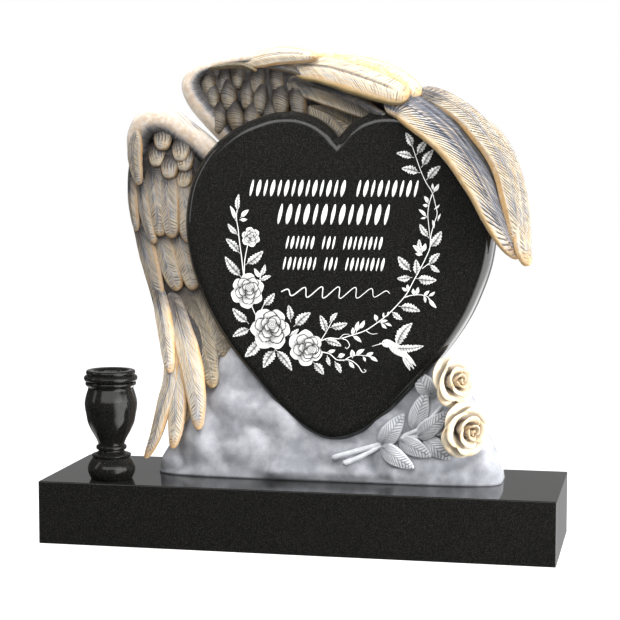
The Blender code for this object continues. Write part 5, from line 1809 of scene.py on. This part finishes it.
class HEADSTONE_OT_rock(bpy.types.Operator):
    """Carves the rock and the sprig on it"""

    bl_idname = "headstone.rock"
    bl_label = "Rock and sprig"

    def execute(self, context):
        settings = context.scene.headstone_stone
        group = shared_group("carved_stone", stone_group)
        make_rock(stone_finish(group, "rock_stone", settings.dark, settings.pale))
        make_sprig(stone_finish(group, "leaf_stone", settings.leaf_dark, settings.leaf_pale))
        return {"FINISHED"}


class HEADSTONE_OT_wings(bpy.types.Operator):
    """Carves the folded wing and the sheltering wing"""

    bl_idname = "headstone.wings"
    bl_label = "Wings"

    def execute(self, context):
        settings = context.scene.headstone_wings
        group = shared_group("wing_patina", patina_group)
        labels = ("Cream", "Gold", "Grey", "Slate", "Deep")
        shades = {label: getattr(settings, label.lower()) for label in labels}
        # Darker copies of the patina, painted as shade, for the coverts, inner feathers and hollow
        lights = {"wing_patina": 1, "covert_patina": settings.shade, "hollow_patina": settings.hollow_shade}
        bright, half_shaded, deep_shaded = (
            patina_finish(group, name, 0.50, {label: Vector(shades[label]) * kept for label in labels})
            for name, kept in lights.items()
        )
        bare = shades | {"Cream": settings.limbs, "Gold": settings.flank, "Deep": settings.groove}
        limbs = patina_finish(group, "limb_patina", 0.55, bare, streaks=0.0)
        make_left_wing(limbs, bright, half_shaded)
        make_upper_wing(limbs, bright, half_shaded, deep_shaded)
        return {"FINISHED"}


class HEADSTONE_OT_roses(bpy.types.Operator):
    """Carves the two cream roses"""

    bl_idname = "headstone.roses"
    bl_label = "Roses"

    def execute(self, context):
        settings = context.scene.headstone_roses
        finish = rose_finish(settings)
        make_rose("upper_rose_petals", "rose_upper", settings.upper, (1.10, -1.0, 0.22), 35, finish)
        make_rose("lower_rose_petals", "rose_lower", settings.lower, (0.88, -1.0, -0.08), 0, finish)
        return {"FINISHED"}


class HEADSTONE_OT_stage(bpy.types.Operator):
    """Sets the floor, the lights and the camera"""

    bl_idname = "headstone.stage"
    bl_label = "Stage"

    def execute(self, context):
        make_stage(context.scene.headstone_stage)
        return {"FINISHED"}


class HEADSTONE_PT_panel(bpy.types.Panel):
    bl_idname = "HEADSTONE_PT_panel"
    bl_label = "Heart headstone"
    bl_space_type = "VIEW_3D"
    bl_region_type = "UI"
    bl_category = "Headstone"

    def draw(self, context):
        for group in SETTINGS:
            box = self.layout.box()
            settings = getattr(context.scene, group)
            for name in SETTINGS[group].__annotations__:
                box.prop(settings, name)
        for operator in OPERATORS:
            self.layout.operator(operator.bl_idname)


SETTINGS = {
    "headstone_granite": HEADSTONE_PG_granite,
    "headstone_stone": HEADSTONE_PG_stone,
    "headstone_wings": HEADSTONE_PG_wings,
    "headstone_roses": HEADSTONE_PG_roses,
    "headstone_engraving": HEADSTONE_PG_engraving,
    "headstone_stage": HEADSTONE_PG_stage,
}
OPERATORS = (HEADSTONE_OT_granite, HEADSTONE_OT_engraving, HEADSTONE_OT_rock, HEADSTONE_OT_wings,
             HEADSTONE_OT_roses, HEADSTONE_OT_stage)


def register():
    for made in (*SETTINGS.values(), *OPERATORS, HEADSTONE_PT_panel):
        bpy.utils.register_class(made)
    for name, group in SETTINGS.items():
        setattr(bpy.types.Scene, name, bpy.props.PointerProperty(type=group))


def unregister():
    for name in SETTINGS:
        delattr(bpy.types.Scene, name)
    for made in reversed((*SETTINGS.values(), *OPERATORS, HEADSTONE_PT_panel)):
        bpy.utils.unregister_class(made)


def main():
    """Makes the memorial and its stage."""
    register()
    for operator in OPERATORS:
        group, action = operator.bl_idname.split(".")
        getattr(getattr(bpy.ops, group), action)()


if __name__ == "__main__":
    main()
